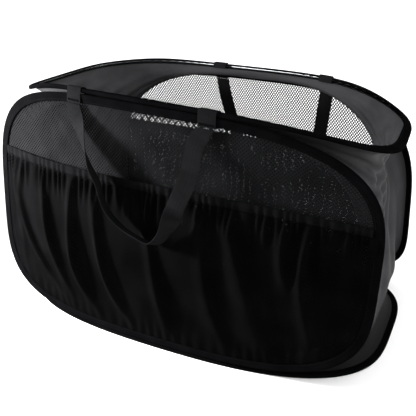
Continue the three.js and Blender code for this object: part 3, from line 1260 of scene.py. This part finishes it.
        def place(along: Array, around: Array, _: Array) -> Array:
            """The tube's points."""
            share = 2 * along - 1
            angle = FULL_TURN * around
            rise = np.sign(np.sin(angle)) * np.abs(np.sin(angle)) ** 0.7
            y = middle + half_height * rise
            below = np.clip(-rise, 0, 1)
            ripple = self.band_ripple * self.ripple(share) * (1 + self.band_flare * below)
            out = self.stand_off(share) + half * np.cos(angle) + ripple
            y = y + self.band_flare / 2 * ripple * below
            return self.plane.settle(np.column_stack([self.half_width * share, y, out]))

        size = (2 * self.half_width, 4 * half_height)
        tube = swept(self.band_columns, self.band_section_steps, place, size, False)
        return make_piece(name, tube, self.finishes.elastic, BAND_EDGES)

    def make_band_stitches(self) -> bpy.types.Object:
        """The row of stitches that holds the elastic in its casing.

        Returns:
            The piece.
        """
        stitches = round(2 * self.half_width / self.stitch_length)
        radius = self.thread_radius
        y = self.band_bottom + self.stitch_lift

        def place(along: Array, around: Array, _: Array) -> Array:
            """The thread's points."""
            share = 2 * along - 1
            dip = np.abs(np.sin(math.pi * stitches * along)) ** 0.5
            ripple = self.stitch_lean * self.band_ripple * self.ripple(share)
            seat = self.stand_off(share) + self.stitch_seat * self.band_half
            out = seat + ripple + radius * (dip - self.stitch_sink)
            angle = FULL_TURN * around
            rise, lift = y + radius * np.cos(angle), out + radius * np.sin(angle)
            return self.plane.settle(np.column_stack([self.half_width * share, rise, lift]))

        size = (2 * self.half_width, FULL_TURN * radius)
        tube = swept(stitches * self.stitch_steps, self.thread_sides, place, size, False)
        name = f"{self.plane.side}_band_stitches"
        return make_piece(name, tube, self.finishes.thread, THREAD_EDGES)

    def build(self) -> list[bpy.types.Object]:
        """Makes the pocket, its casing, the elastic in it and its stitches.

        Returns:
            The four pieces.
        """
        side = self.plane.side
        half_height = self.band_height / 2
        middle = self.band_top - half_height
        casing = self.strip(f"{side}_elastic_casing", middle, half_height, self.band_half)
        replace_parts(casing, f"{side}_pocket_band")
        raised = middle + self.elastic_lift
        thin = self.band_half / 3
        elastic = self.strip(f"{side}_inner_elastic", raised, self.elastic_half_height, thin)
        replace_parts(elastic, f"{side}_pocket_elastic")
        return [self.make_net(), casing, elastic, self.make_band_stitches()]


@dataclass(frozen=True)
class RoutePoint:
    """A point of a handle's hanging route, in shares of the half span, drop and stand-off."""

    across: float
    down: float
    out: float


def smooth_route(points: Array, shares: Array) -> Array:
    """Points along a smooth line through given points.

    Args:
        points: The points that the line passes through.
        shares: Shares of its length.

    Returns:
        A point for each share.
    """
    padded = np.vstack([2 * points[0] - points[1], points, 2 * points[-1] - points[-2]])
    dense = []
    for index in range(1, len(padded) - 2):
        p0, p1, p2, p3 = padded[index - 1 : index + 3]
        knots = [0.0]
        for start, end in ((p0, p1), (p1, p2), (p2, p3)):
            knots.append(knots[-1] + np.linalg.norm(end - start) ** 0.5)
        t0, t1, t2, t3 = knots
        t = np.linspace(t1, t2, ROUTE_STEPS)[:, None]
        a1 = (t1 - t) / (t1 - t0) * p0 + (t - t0) / (t1 - t0) * p1
        a2 = (t2 - t) / (t2 - t1) * p1 + (t - t1) / (t2 - t1) * p2
        a3 = (t3 - t) / (t3 - t2) * p2 + (t - t2) / (t3 - t2) * p3
        b1 = (t2 - t) / (t2 - t0) * a1 + (t - t0) / (t2 - t0) * a2
        b2 = (t3 - t) / (t3 - t1) * a2 + (t - t1) / (t3 - t1) * a3
        dense.append((t2 - t) / (t2 - t1) * b1 + (t - t1) / (t2 - t1) * b2)
    line = np.vstack(dense)
    lengths = np.concatenate([[0.0], np.cumsum(np.linalg.norm(np.diff(line, axis=0), axis=1))])
    return np.column_stack([np.interp(shares * lengths[-1], lengths, way) for way in line.T])


def route_and_way(points: Array, shares: Array, reach: float) -> tuple[Array, Array]:
    """Points along a smooth line, and the ways that it runs there.

    Args:
        points: The points that the line passes through.
        shares: Shares of its length.
        reach: How far ahead and behind the way is taken, as a share of the length.

    Returns:
        A point and a unit row for each share.
    """
    ahead = smooth_route(points, np.clip(shares + reach, 0, 1))
    behind = smooth_route(points, np.clip(shares - reach, 0, 1))
    return smooth_route(points, shares), rows_normalised(ahead - behind)


def rows_normalised(rows: Array) -> Array:
    """Each row made one long."""
    return rows / np.maximum(np.linalg.norm(rows, axis=-1, keepdims=True), TINY)


def smooth_step(value: Array, low: float, high: float) -> Array:
    """A soft step from 0 at low to 1 at high."""
    share = np.clip((value - low) / (high - low), 0, 1)
    return share * share * (3 - 2 * share)


@dataclass(frozen=True)
class Handle:
    """A hanging webbing loop and the two sewn straps that lead over the top ring."""

    plane: RingPlane
    top: RingPlane
    finishes: Finishes
    drop: float = 0.158
    stand_off: float = 0.031
    start_out: float = 0.0054
    strap_out: float = 0.0039
    turn_degrees: float = 66
    left_twist: tuple[float, float] = (0.02, 0.25)
    right_twist: tuple[float, float] = (0.26, 0.38)
    loop_steps: int = 150
    section_steps: int = 24
    strap_steps: int = 60
    selvedge: float = 0.25
    edge_power: float = 0.5
    face_power: float = 0.35
    bead_power: int = 12
    level_share: float = 0.06
    loop_way_share: float = 0.004
    strap_way_share: float = 0.01
    wrap_degrees: tuple[int, ...] = (0, 20, 40, 60, 80, 90)
    loop_length: float = 0.55
    strap_length: float = 0.05
    strap_start: float = 0.0008
    strap_rise_end: float = 0.012
    wrap_hem: tuple[tuple[float, float], ...] = ((0.0006, 0.0009), (0.0018, 0.0013))
    tack_zigzags: int = 22
    tack_steps: int = 6
    tack_thread_radius: float = 0.0003
    tack_margin: float = 0.002
    tack_half_height: float = 0.0014
    tack_lift: float = 0.0045
    tack_seat: float = 0.4
    route: tuple[RoutePoint, ...] = (
        RoutePoint(-1.0, 0.0, 0.0),
        RoutePoint(-0.952, 0.079, 0.04),
        RoutePoint(-0.865, 0.168, 0.18),
        RoutePoint(-0.712, 0.307, 0.57),
        RoutePoint(-0.548, 0.465, 0.88),
        RoutePoint(-0.433, 0.56, 0.98),
        RoutePoint(-0.304, 0.765, 1.0),
        RoutePoint(-0.065, 0.903, 1.0),
        RoutePoint(0.204, 0.972, 1.0),
        RoutePoint(0.424, 1.0, 1.0),
        RoutePoint(0.607, 0.867, 1.0),
        RoutePoint(0.75, 0.61, 0.92),
        RoutePoint(0.846, 0.446, 0.77),
        RoutePoint(0.881, 0.323, 0.57),
        RoutePoint(0.88, 0.18, 0.26),
        RoutePoint(0.923, 0.079, 0.06),
        RoutePoint(1.0, 0.0, 0.0),
    )

    @classmethod
    def straight(cls, plane: RingPlane, top: RingPlane, finishes: Finishes) -> Handle:
        """A handle whose loop hangs straight and flat until its lowest part.

        Args:
            plane: Its panel's ring.
            top: The top ring.
            finishes: The materials.

        Returns:
            The handle.
        """
        half = [(1.0, 0.0, 0.0), (0.97, 0.1, 0.05), (0.93, 0.22, 0.22), (0.88, 0.36, 0.5)]
        half += [(0.82, 0.52, 0.78), (0.72, 0.7, 0.94), (0.55, 0.87, 1.0), (0.3, 0.97, 1.0)]
        left = [RoutePoint(-across, down, out) for across, down, out in half]
        right = [RoutePoint(across, down, out) for across, down, out in reversed(half)]
        route = (*left, RoutePoint(0.0, 1.0, 1.0), *right)
        twist = (0.22, 0.42)
        return cls(plane, top, finishes, left_twist=twist, right_twist=twist, route=route)

    @property
    def top_y(self) -> float:
        """The height of the loop's sewn ends, from the panel's middle."""
        sizes = self.plane.sizes
        far = sizes.handle_span / 2 + abs(sizes.handle_shift) + sizes.webbing_width / 2
        reach = float(self.plane.shape.reach(np.array(far), 0.0))
        return reach - sizes.tape_width - sizes.clearance

    def web_section(self, around: Array) -> tuple[Array, Array]:
        """The webbing's section, with slightly beaded edges.

        Args:
            around: Shares of the way round it.

        Returns:
            The way across its width and the way out of its face.
        """
        sizes = self.plane.sizes
        angle = FULL_TURN * around
        across = np.sign(np.cos(angle)) * np.abs(np.cos(angle)) ** self.edge_power
        bead = 1 + self.selvedge * np.abs(across) ** self.bead_power
        face = np.sign(np.sin(angle)) * np.abs(np.sin(angle)) ** self.face_power
        return across * sizes.webbing_width / 2, face * bead * sizes.webbing_thickness / 2

    def loop_place(self, along: Array, around: Array, _: Array) -> Array:
        """The hanging loop's points: flat at its ends, edge out along its lower part.

        Args:
            along: Shares of the loop's length.
            around: Shares of the way round its section.

        Returns:
            The points in the standing hamper.
        """
        sizes = self.plane.sizes
        shares = np.array([[point.across, point.down, point.out] for point in self.route])
        start = (sizes.handle_shift, self.top_y, self.start_out)
        reach = (sizes.handle_span / 2, -self.drop, self.stand_off - self.start_out)
        centre, way = route_and_way(start + shares * reach, along, self.loop_way_share)
        left = smooth_step(along, *self.left_twist)
        right = smooth_step(1 - along, *self.right_twist)
        turned = math.radians(self.turn_degrees) * np.minimum(left, right)
        flat = rows_normalised(np.cross([0.0, 0.0, 1.0], way))
        level = smooth_step(np.minimum(along, 1 - along), 0.0, self.level_share)[:, None]
        sideways = np.where(along < 0.5, 1.0, -1.0)[:, None] * np.array([[1.0, 0.0, 0.0]])
        flat = rows_normalised(flat * level + sideways * (1 - level))
        face = np.cross(way, flat)
        wide = flat * np.cos(turned)[:, None] + face * np.sin(turned)[:, None]
        face = rows_normalised(np.cross(way, wide))
        across, out = self.web_section(around)
        points = centre + wide * across[:, None] + face * out[:, None]
        return self.plane.settle(points)

    def make_loop(self) -> bpy.types.Object:
        """The hanging loop.

        Returns:
            The piece.
        """
        size = (self.loop_length, 2 * self.plane.sizes.webbing_width)
        tube = swept(self.loop_steps, self.section_steps, self.loop_place, size, False)
        name = f"{self.plane.side}_webbing_loop"
        piece = make_piece(name, tube, self.finishes.webbing, WEB_EDGES)
        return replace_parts(piece, f"{self.plane.side}_handle_loop")

    def rising_line(self) -> list[list[float]]:
        """The strap's line up the panel's own ring.

        Returns:
            Rows of the height above the panel's middle and the way out from its plane.
        """
        sizes = self.plane.sizes
        end = (sizes.height - sizes.tape_thickness) / 2 - self.strap_rise_end
        return [[self.top_y + self.strap_start, self.strap_out], [end, self.strap_out]]

    def wrapping_line(self, x: float) -> list[list[float]]:
        """The strap's line round the top ring, from outside to inside.

        Args:
            x: The strap's middle, in the panel's own plane.

        Returns:
            Rows of the height above the panel's middle and the way out from its plane.
        """
        sizes = self.plane.sizes
        gap = sizes.clearance + sizes.webbing_thickness / 2
        round_over = sizes.tape_thickness / 2 + gap
        top_middle = sizes.height / 2 - sizes.tape_thickness / 2
        far = float(self.top.shape.reach(np.array(abs(x)), 0.0)) - sizes.panel_plane
        nose = far - sizes.tape_thickness / 2
        lip = nose - sizes.tape_width + sizes.tape_thickness / 2
        over = [
            [top_middle + round_over * math.sin(angle), nose + round_over * math.cos(angle)]
            for angle in np.radians(self.wrap_degrees)
        ]
        lip_top = top_middle + Ring(self.top, self.finishes).lip_half + gap
        hem = [[lip_top - down, lip - inward] for down, inward in self.wrap_hem]
        end = [sizes.height / 2 - sizes.tape_thickness, hem[-1][1]]
        return [*over, [lip_top, lip], *hem, end]

    def make_band(self, name: str, x: float, line: list[list[float]]) -> bpy.types.Object:
        """A short flat band of webbing along a line.

        Args:
            name: The piece's name.
            x: Its middle, in the panel's own plane.
            line: Rows of the height above the panel's middle and the way out from its plane.

        Returns:
            The piece.
        """
        points = np.array(line)

        def place(along: Array, around: Array, _: Array) -> Array:
            """The band's points."""
            centre, way = route_and_way(points, along, self.strap_way_share)
            across, out = self.web_section(around)
            y = centre[:, 0] - way[:, 1] * out
            depth = centre[:, 1] + way[:, 0] * out
            return self.plane.settle(np.column_stack([x + across, y, depth]))

        size = (self.strap_length, 2 * self.plane.sizes.webbing_width)
        tube = swept(self.strap_steps, self.section_steps, place, size, False)
        return make_piece(name, tube, self.finishes.webbing, WEB_EDGES)

    def make_straps(self, end: str, x: float) -> list[bpy.types.Object]:
        """A strap from the loop over the top ring.

        The front strap is one length. The back one comes in two, because the top ring parts from
        the back ring there.

        Args:
            end: The strap's end of the hamper.
            x: Its middle, in the panel's own plane.

        Returns:
            The strap's pieces. The back strap's foot rides on the back body and its wrap on the top
            body.
        """
        anchor = f"{self.plane.side}_{end}_handle_anchor"
        wrap = f"{self.plane.side}_{end}_handle_wrap"
        name = f"{self.plane.side}_{end}_strap"
        rising, wrapping = self.rising_line(), self.wrapping_line(x)
        if self.plane.place is RingPlace.FRONT:
            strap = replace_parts(self.make_band(name, x, rising + wrapping), anchor, wrap)
            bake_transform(strap)
            return [strap]
        half_gap = self.plane.sizes.clearance
        split = self.plane.sizes.height / 2 - self.plane.sizes.tape_thickness
        foot_line = rising + [[split - half_gap, self.strap_out]]
        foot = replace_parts(self.make_band(f"{name}_foot", x, foot_line), anchor)
        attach(foot, self.plane.side)
        wrap_line = [[split + half_gap, wrapping[0][1]]] + wrapping
        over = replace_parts(self.make_band(f"{name}_wrap", x, wrap_line), wrap)
        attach(over, "top")
        return [foot, over]

    def make_bar_tack(self, end: str, x: float, y: float) -> bpy.types.Object:
        """A close row of zigzag stitches across a strap.

        Args:
            end: The strap's end of the hamper.
            x: The strap's middle, in the panel's own plane.
            y: The row's height from the panel's middle.

        Returns:
            The piece.
        """
        sizes = self.plane.sizes
        zigzags, radius = self.tack_zigzags, self.tack_thread_radius
        half_row = sizes.webbing_width / 2 - self.tack_margin
        out = self.strap_out + sizes.webbing_thickness / 2

        def place(along: Array, around: Array, _: Array) -> Array:
            """The thread's points."""
            angle = FULL_TURN * around
            across = half_row * (2 * along - 1)
            rise = self.tack_half_height * np.sin(math.pi * zigzags * along)
            lift = radius * (self.tack_seat + np.sin(angle))
            points = [x + across, y + rise + radius * np.cos(angle), out + lift]
            return self.plane.settle(np.column_stack(points))

        size = (2 * half_row, FULL_TURN * radius)
        tube = swept(zigzags * self.tack_steps, self.tack_steps, place, size, False)
        name = f"{self.plane.side}_{end}_bar_tack"
        return make_piece(name, tube, self.finishes.thread, THREAD_EDGES)

    def build(self) -> None:
        """Makes the loop, its straps and their bar tacks."""
        sizes = self.plane.sizes
        ends = ("left", "right") if self.plane.place is RingPlace.FRONT else ("right", "left")
        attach(self.make_loop(), f"{self.plane.side}_handle")
        for end, way in zip(ends, (-1, 1)):
            x = sizes.handle_shift + way * sizes.handle_span / 2
            self.make_straps(end, x)
            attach(self.make_bar_tack(end, x, self.top_y + self.tack_lift), self.plane.side)


@dataclass
class EndCloth:
    """The cloth between the four rings at one end, cut into a gore for each ring."""

    right: bool
    planes: dict[RingPlace, RingPlane]
    finishes: Finishes
    overlap_degrees: float = 7
    seam: float = 0.0092
    behind: float = 0.0014
    fullness: float = 0.022
    corner_fullness: float = 0.045
    corner_spread: float = 0.2
    divisions: int = 72
    rounds: int = 5000
    thickness: float = 0.0005
    wrinkle: float = 0.0034
    corner_across: tuple[float, float] = (0.2, 0.8)
    corner_rise: float = 0.2
    corner_hold: float = 3
    edge_hold: float = 6
    fans: tuple[tuple[float, float, int], ...] = ((0.0, 1.05, 30), (1.0, 0.9, 26))
    fan_top: float = 1.02
    fan_bend: float = 0.12
    fan_middle: float = 0.5
    fan_reach: float = 0.38
    crease_share: float = 0.6
    crease_power: float = 0.7
    broad_share: float = 0.4
    fine_share: float = 0.2
    grid: Array = field(init=False)
    normals: Array = field(init=False)

    @property
    def end(self) -> str:
        """The hamper's end that the cloth closes."""
        return "right" if self.right else "left"

    def __post_init__(self) -> None:
        """Drapes the cloth."""
        self.grid = self.draped_grid()
        self.normals = self.grid_normals(self.grid)

    def edge_points(self, place: RingPlace, shares: Array) -> Array:
        """The cloth's edge along one ring, from one sewn corner round to the other.

        Args:
            place: The ring.
            shares: Shares of the way between the corners.

        Returns:
            A point for each share.
        """
        plane = self.planes[place]
        sizes = plane.sizes
        limit = math.radians(90 + self.overlap_degrees)
        outline = plane.shape.points(limit * (2 * shares - 1), self.seam)
        panel_side = sizes.panel_plane - self.behind
        if place in (RingPlace.FRONT, RingPlace.BACK):
            flip = 1 if place is RingPlace.FRONT else -1
            inner = sizes.height / 2 - sizes.tape_thickness / 2 - self.behind
            y = np.clip(outline[:, 1], -inner, inner)
            out = np.full(len(shares), -self.behind)
            return plane.lay(np.column_stack([flip * outline[:, 0], y, out]))
        y = np.clip(outline[:, 1], -panel_side, panel_side)
        way = -1 if place is RingPlace.TOP else 1
        out = np.full(len(shares), way * self.behind)
        return plane.lay(np.column_stack([outline[:, 0], y, out]))

    def draped_grid(self) -> Array:
        """The end's cloth: drawn tight between its edges, eased out, sprung, then wrinkled.

        Returns:
            A point for each column and row.
        """
        count = self.divisions + 1
        shares = np.linspace(0, 1, count)
        grid = np.zeros((count, count, 3))
        low = self.edge_points(RingPlace.BASE, shares)
        high = self.edge_points(RingPlace.TOP, shares)
        front = self.edge_points(RingPlace.FRONT, shares)
        back = self.edge_points(RingPlace.BACK, shares)
        up = shares[None, :, None]
        grid[:] = low[:, None] * (1 - up) + high[:, None] * up
        grid[0], grid[-1] = front, back
        for corner, edge in ((0, front), (-1, back)):
            grid[corner, 0] = (edge[0] + low[corner]) / 2
            grid[corner, -1] = (edge[-1] + high[corner]) / 2
        for _ in range(self.rounds):
            around = grid[:-2, 1:-1] + grid[2:, 1:-1] + grid[1:-1, :-2] + grid[1:-1, 2:]
            grid[1:-1, 1:-1] = around / 4
        across, rise = np.meshgrid(shares, shares, indexing="ij")
        middle = np.sin(math.pi * across) * np.sin(math.pi * rise)
        grid[..., 0] += self.fullness * middle
        free = np.minimum(1, self.corner_hold * middle)
        for corner in self.corner_across:
            squared = (across - corner) ** 2 + (rise - self.corner_rise) ** 2
            grid[..., 0] += self.corner_fullness * np.exp(-squared / self.corner_spread**2) * free
        if not self.right:
            grid[..., :2] *= -1
        spring = self.planes[RingPlace.BASE].spring
        grid = spring.bend(grid.reshape(-1, 3)).reshape(grid.shape)
        edge = np.minimum.reduce([across, 1 - across, rise, 1 - rise])
        creases = self.wrinkles(across, rise) * np.clip(self.edge_hold * edge, 0, 1)
        return grid + self.grid_normals(grid) * creases[..., None]

    def wrinkles(self, across: Array, rise: Array) -> Array:
        """The height of the cloth's soft wrinkles, which fan out from its upper corners.

        Args:
            across: Shares of the way from the front to the back.
            rise: Shares of the way up.

        Returns:
            How far the cloth stands out there.
        """
        height = np.zeros_like(across)
        for corner, start, turns in self.fans:
            run = np.abs(across - corner) + TINY
            fall = self.fan_top - rise
            angle = np.arctan2(fall, run) + self.fan_bend * np.sin(7 * run)
            distance = np.hypot(fall, run)
            wave = np.sin(turns * angle + start + 1.5 * distance)
            sharp = np.sign(wave) * np.abs(wave) ** self.crease_power
            reach = np.exp(-(((distance - self.fan_middle) / self.fan_reach) ** 2))
            crease = self.crease_share * sharp + (1 - self.crease_share) * wave
            height += self.wrinkle * crease * reach
        broad = np.sin(9 * across + 4 * rise) * np.sin(5 * rise + 2 * across + 1)
        fine = np.sin(23 * across - 6 * rise + 2 * np.sin(5 * rise))
        return height + self.wrinkle * (self.broad_share * broad + self.fine_share * fine)

    @staticmethod
    def grid_normals(grid: Array) -> Array:
        """The way that the cloth faces at each point of its grid.

        Args:
            grid: A point for each column and row.

        Returns:
            A unit row for each point.
        """
        across_way = np.gradient(grid, axis=0)
        up_way = np.gradient(grid, axis=1)
        normals = np.cross(across_way, up_way)
        return rows_normalised(normals)

    def at(self, across: Array, up: Array) -> tuple[Array, Array]:
        """The grid's columns and rows at shares of the way across and up the flat cloth."""
        column = np.rint(across * self.divisions).astype(int)
        return column, np.rint(up * self.divisions).astype(int)

    def place(self, across: Array, up: Array, side: Array) -> Array:
        """The cloth's points on both of its faces."""
        spot = self.at(across, up)
        return self.grid[spot] + self.normals[spot] * (side * self.thickness)[:, None]

    def gore_normals(self, sheet: bmesh.types.BMesh) -> Array:
        """The normals of a gore's corners while it is flat, so that gores shade as one cloth.

        Args:
            sheet: The flat gore.

        Returns:
            A unit row for each of its corners.
        """
        flat = np.array([corner.co for corner in sheet.verts])
        facing = np.where(flat[:, 2] < 0, -1.0, 1.0)
        return self.normals[self.at(flat[:, 0], flat[:, 1])] * facing[:, None]

    def make_gore(self, place: RingPlace) -> bpy.types.Object:
        """The part of the cloth that lies nearest to one ring.

        Args:
            place: The ring.

        Returns:
            The piece.
        """
        sheet = blank_grid(self.divisions, self.divisions)
        for slope in (1, -1):
            bmesh.ops.bisect_plane(
                sheet,
                geom=[*sheet.verts, *sheet.edges, *sheet.faces],
                dist=WELD,
                plane_co=(0.5, 0.5, 0),
                plane_no=(1, slope, 0),
            )
        outside = [
            face for face in sheet.faces if self.nearest(face.calc_center_median()) is not place
        ]
        bmesh.ops.delete(sheet, geom=outside, context="FACES")
        sizes = self.planes[place].sizes
        lay_pattern(sheet, sizes.depth, sizes.height)
        bmesh.ops.solidify(sheet, geom=sheet.faces[:], thickness=1.0)
        points = np.array([corner.co for corner in sheet.verts])
        middle = (points[:, 2].max() + points[:, 2].min()) / 2
        bmesh.ops.translate(sheet, verts=sheet.verts, vec=(0, 0, -middle))
        normals = self.gore_normals(sheet)
        move_points(sheet, self.place)
        name = f"{self.end}_end_{place.value}_gore"
        piece = make_piece(name, sheet, self.finishes.end_cloth, SMOOTH)
        piece.data.normals_split_custom_set_from_vertices(normals.tolist())
        return piece

    @staticmethod
    def nearest(middle: Vector) -> RingPlace:
        """The ring that a place of the flat cloth lies nearest to.

        Args:
            middle: The place, in shares of the flat cloth.

        Returns:
            The ring.
        """
        across, up = middle.x - 0.5, middle.y - 0.5
        if abs(across) > abs(up):
            return RingPlace.BACK if across > 0 else RingPlace.FRONT
        return RingPlace.TOP if up > 0 else RingPlace.BASE

    def build(self) -> dict[RingPlace, bpy.types.Object]:
        """Makes the four gores.

        Returns:
            The pieces, by the ring that each rides with.
        """
        gores = {place: self.make_gore(place) for place in RingPlace}
        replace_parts(gores[RingPlace.BASE], f"{self.end}_end_panel")
        return gores


@dataclass(frozen=True)
class BottomCloth:
    """The cloth that the base ring holds."""

    plane: RingPlane
    finishes: Finishes
    cell: float = 0.006
    ripple: float = 0.0008
    thickness: float = 0.0005
    outline_share: float = 0.92

    def place(self, x: Array, y: Array, side: Array) -> Array:
        """The cloth's points, with faint ripples.

        Args:
            x: Places along the cloth.
            y: Places across it.
            side: Half a unit above or below it.

        Returns:
            The points in the standing hamper.
        """
        wave = np.sin(31 * x + 17 * y + np.sin(23 * y)) * np.sin(19 * y - 7 * x)
        out = self.ripple * wave + side * self.thickness
        return self.plane.settle(np.column_stack([x, y, out]))

    def build(self) -> bpy.types.Object:
        """Makes the cloth.

        Returns:
            The piece.
        """
        shape = self.plane.shape
        inset = self.plane.sizes.cloth_inset
        sheet = blank_grid(round(shape.length / self.cell), round(shape.width / self.cell))
        lay_pattern(sheet, shape.length, shape.width)
        bmesh.ops.translate(sheet, verts=sheet.verts, vec=(-0.5, -0.5, 0))
        bmesh.ops.scale(sheet, verts=sheet.verts, vec=(shape.length, shape.width, 1))
        cut_away(sheet, lambda x, y: shape.inside(x, y, inset))
        bmesh.ops.solidify(sheet, geom=sheet.faces[:], thickness=1.0)
        move_points(sheet, self.place)
        piece = make_piece("bottom_cloth", sheet, self.finishes.end_cloth, BAND_EDGES)
        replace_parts(piece, "bottom_panel")
        return piece


@dataclass(frozen=True)
class Sun:
    """A far, large light: the way towards it, its apparent width in degrees and its strength."""

    name: str
    place: Spot
    spread: float
    strength: float

    def build(self) -> None:
        """Makes the light."""
        data = bpy.data.lights.new(self.name, "SUN")
        data.angle = math.radians(self.spread)
        data.energy = self.strength
        light = add_object(self.name, data)
        light.rotation_euler = Vector(self.place).to_track_quat("Z", "Y").to_euler()


@dataclass(frozen=True)
class Softbox:
    """A near square light with a narrow beam, beside the hamper's left end."""

    place: Spot = (-0.64, -0.46, 0.36)
    aim: Spot = (-0.27, -0.2, 0.22)
    side: float = 0.12
    beam: float = 65
    strength: float = 7.5

    def build(self) -> None:
        """Makes the light."""
        data = bpy.data.lights.new("softbox", "AREA")
        data.size = self.side
        data.spread = math.radians(self.beam)
        data.energy = self.strength
        light = add_object("softbox", data)
        light.location = self.place
        way = Vector(self.place) - Vector(self.aim)
        light.rotation_euler = way.to_track_quat("Z", "Y").to_euler()
        light.visible_camera = False


@dataclass(frozen=True)
class Studio:
    """The pale floor, the soft light and the camera."""

    floor_half: float = 45.0
    floor_colour: Colour = (0.9, 0.9, 0.9)
    floor_roughness: float = 0.9
    floor_specular: float = 0.1
    floor_patches: float = 0.4
    floor_change: float = 0.01
    frame_pixels: float = 416
    sensor: float = 0.036
    focal_pixels: float = 596.2
    eye: Spot = (0.3938, -0.8514, 0.5125)
    yaw: float = 0.4381
    pitch: float = 0.3634
    roll: float = 0.0218
    shift_pixels: tuple[float, float] = (-3.0, -3.0)
    surroundings: float = 0.85
    lights: tuple[Sun | Softbox, ...] = (
        Sun("overhead", (0.0, 0.1, 1.0), 100, 1.6),
        Sun("key", (-1.0, -0.35, 0.35), 25, 3.0),
        Sun("fill", (1.0, 0.2, 0.45), 30, 2.3),
        Softbox(),
    )

    def make_floor(self) -> None:
        """Makes the floor."""
        sheet = bmesh.new()
        bmesh.ops.create_grid(sheet, x_segments=8, y_segments=8, size=self.floor_half)
        recipe = Recipe("pale_floor", self.floor_colour, self.floor_roughness)
        recipe.set_shader(Specular_IOR_Level=self.floor_specular)
        place = recipe.add("ShaderNodeTexCoord").outputs["Object"]
        dark = tuple(part - self.floor_change for part in self.floor_colour)
        light = tuple(part + self.floor_change for part in self.floor_colour)
        recipe.vary_colour(recipe.noise(place, self.floor_patches, 2), dark, light)
        add_object("floor", finished_mesh("floor", sheet, recipe.material))

    def make_world(self) -> None:
        """The even white surroundings."""
        world = bpy.data.worlds.new("studio")
        world.use_nodes = True
        background = world.node_tree.nodes["Background"]
        background.inputs["Color"].default_value = (1, 1, 1, 1)
        background.inputs["Strength"].default_value = self.surroundings
        bpy.context.scene.world = world

    def make_camera(self) -> None:
        """The camera at the photograph's viewing angle."""
        data = bpy.data.cameras.new("camera")
        data.sensor_fit = "AUTO"
        data.sensor_width = self.sensor / MILLIMETRE
        data.lens = self.focal_pixels / self.frame_pixels * data.sensor_width
        data.shift_x, data.shift_y = (way / self.frame_pixels for way in self.shift_pixels)
        data.dof.use_dof = False
        flat, drop = math.cos(self.pitch), math.sin(self.pitch)
        ahead = Vector((-math.sin(self.yaw) * flat, math.cos(self.yaw) * flat, -drop))
        right = ahead.cross(Vector((0, 0, 1))).normalized()
        above = right.cross(ahead)
        cos, sin = math.cos(self.roll), math.sin(self.roll)
        rolled_right = right * cos + above * sin
        rolled_above = above * cos - right * sin
        turn = Matrix((rolled_right, rolled_above, -ahead)).transposed().to_4x4()
        camera = add_object("camera", data)
        camera.matrix_world = Matrix.Translation(self.eye) @ turn
        bpy.context.scene.camera = camera

    def build(self) -> None:
        """Sets up the studio."""
        self.make_camera()
        self.make_world()
        for light in self.lights:
            light.build()
        self.make_floor()
        settings = bpy.context.scene.view_settings
        settings.view_transform = "Standard"
        settings.look = "None"


@dataclass
class Hamper:
    """The whole hamper, and the ring bodies that its soft pieces ride on."""

    sizes: HamperSizes = HamperSizes()
    flattened: float = 0.25
    gathered: float = 0.012
    rest_share: float = 0.75
    front_pocket_net: NetCloth = NetCloth(hole_share=0.36)
    back_pocket_net: NetCloth = NetCloth(hole_share=0.12)

    def __post_init__(self) -> None:
        """Sets out the ring planes and the materials."""
        sizes = self.sizes
        panel = RingShape(sizes.ring_length, sizes.ring_height, sizes.panel_roundness)
        shapes = {
            RingPlace.BASE: RingShape(sizes.base_length, sizes.depth, sizes.base_roundness),
            RingPlace.TOP: RingShape(sizes.top_length, sizes.depth, sizes.top_roundness),
            RingPlace.FRONT: panel,
            RingPlace.BACK: panel,
        }
        self.planes = {place: RingPlane(place, shape, sizes) for place, shape in shapes.items()}
        self.finishes = Finishes()

    def flatten(self, piece: bpy.types.Object, place: RingPlace) -> None:
        """Lets a piece ride on a ring's body, with a mesh of its own.

        Args:
            piece: The piece.
            place: The ring.
        """
        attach(piece, place.value)
        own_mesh(piece)

    def build_rings(self) -> None:
        """The four rings."""
        for place, plane in self.planes.items():
            for piece in Ring(plane, self.finishes).build():
                if place is RingPlace.BASE:
                    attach(piece, "base")
                else:
                    self.flatten(piece, place)
            log.info("%s ring is ready", place.value)

    def build_panels(self) -> None:
        """The nets, pockets and handles of the front and the back."""
        kinds = {
            RingPlace.FRONT: (self.front_pocket_net, Handle),
            RingPlace.BACK: (self.back_pocket_net, Handle.straight),
        }
        for place, (pocket_net, make_handle) in kinds.items():
            plane = self.planes[place]
            pieces = [NetPanel(plane, self.finishes).build()]
            pieces += Pocket(plane, self.finishes, pocket_net).build()
            for piece in pieces:
                self.flatten(piece, place)
            make_handle(plane, self.planes[RingPlace.TOP], self.finishes).build()
            log.info("%s panel is ready", place.value)

    def build_ends(self) -> None:
        """The cloth of the two ends and the bottom."""
        for right in (True, False):
            for place, gore in EndCloth(right, self.planes, self.finishes).build().items():
                self.flatten(gore, place)
        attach(BottomCloth(self.planes[RingPlace.BASE], self.finishes).build(), "base")
        log.info("ends and bottom are ready")


def main() -> None:
    """Builds the studio and the hamper."""
    logging.basicConfig(level=logging.INFO, format="%(name)s: %(message)s", stream=sys.stdout)
    Studio().build()
    hamper = Hamper()
    hamper.build_rings()
    hamper.build_panels()
    hamper.build_ends()


if __name__ == "__main__":
    main()
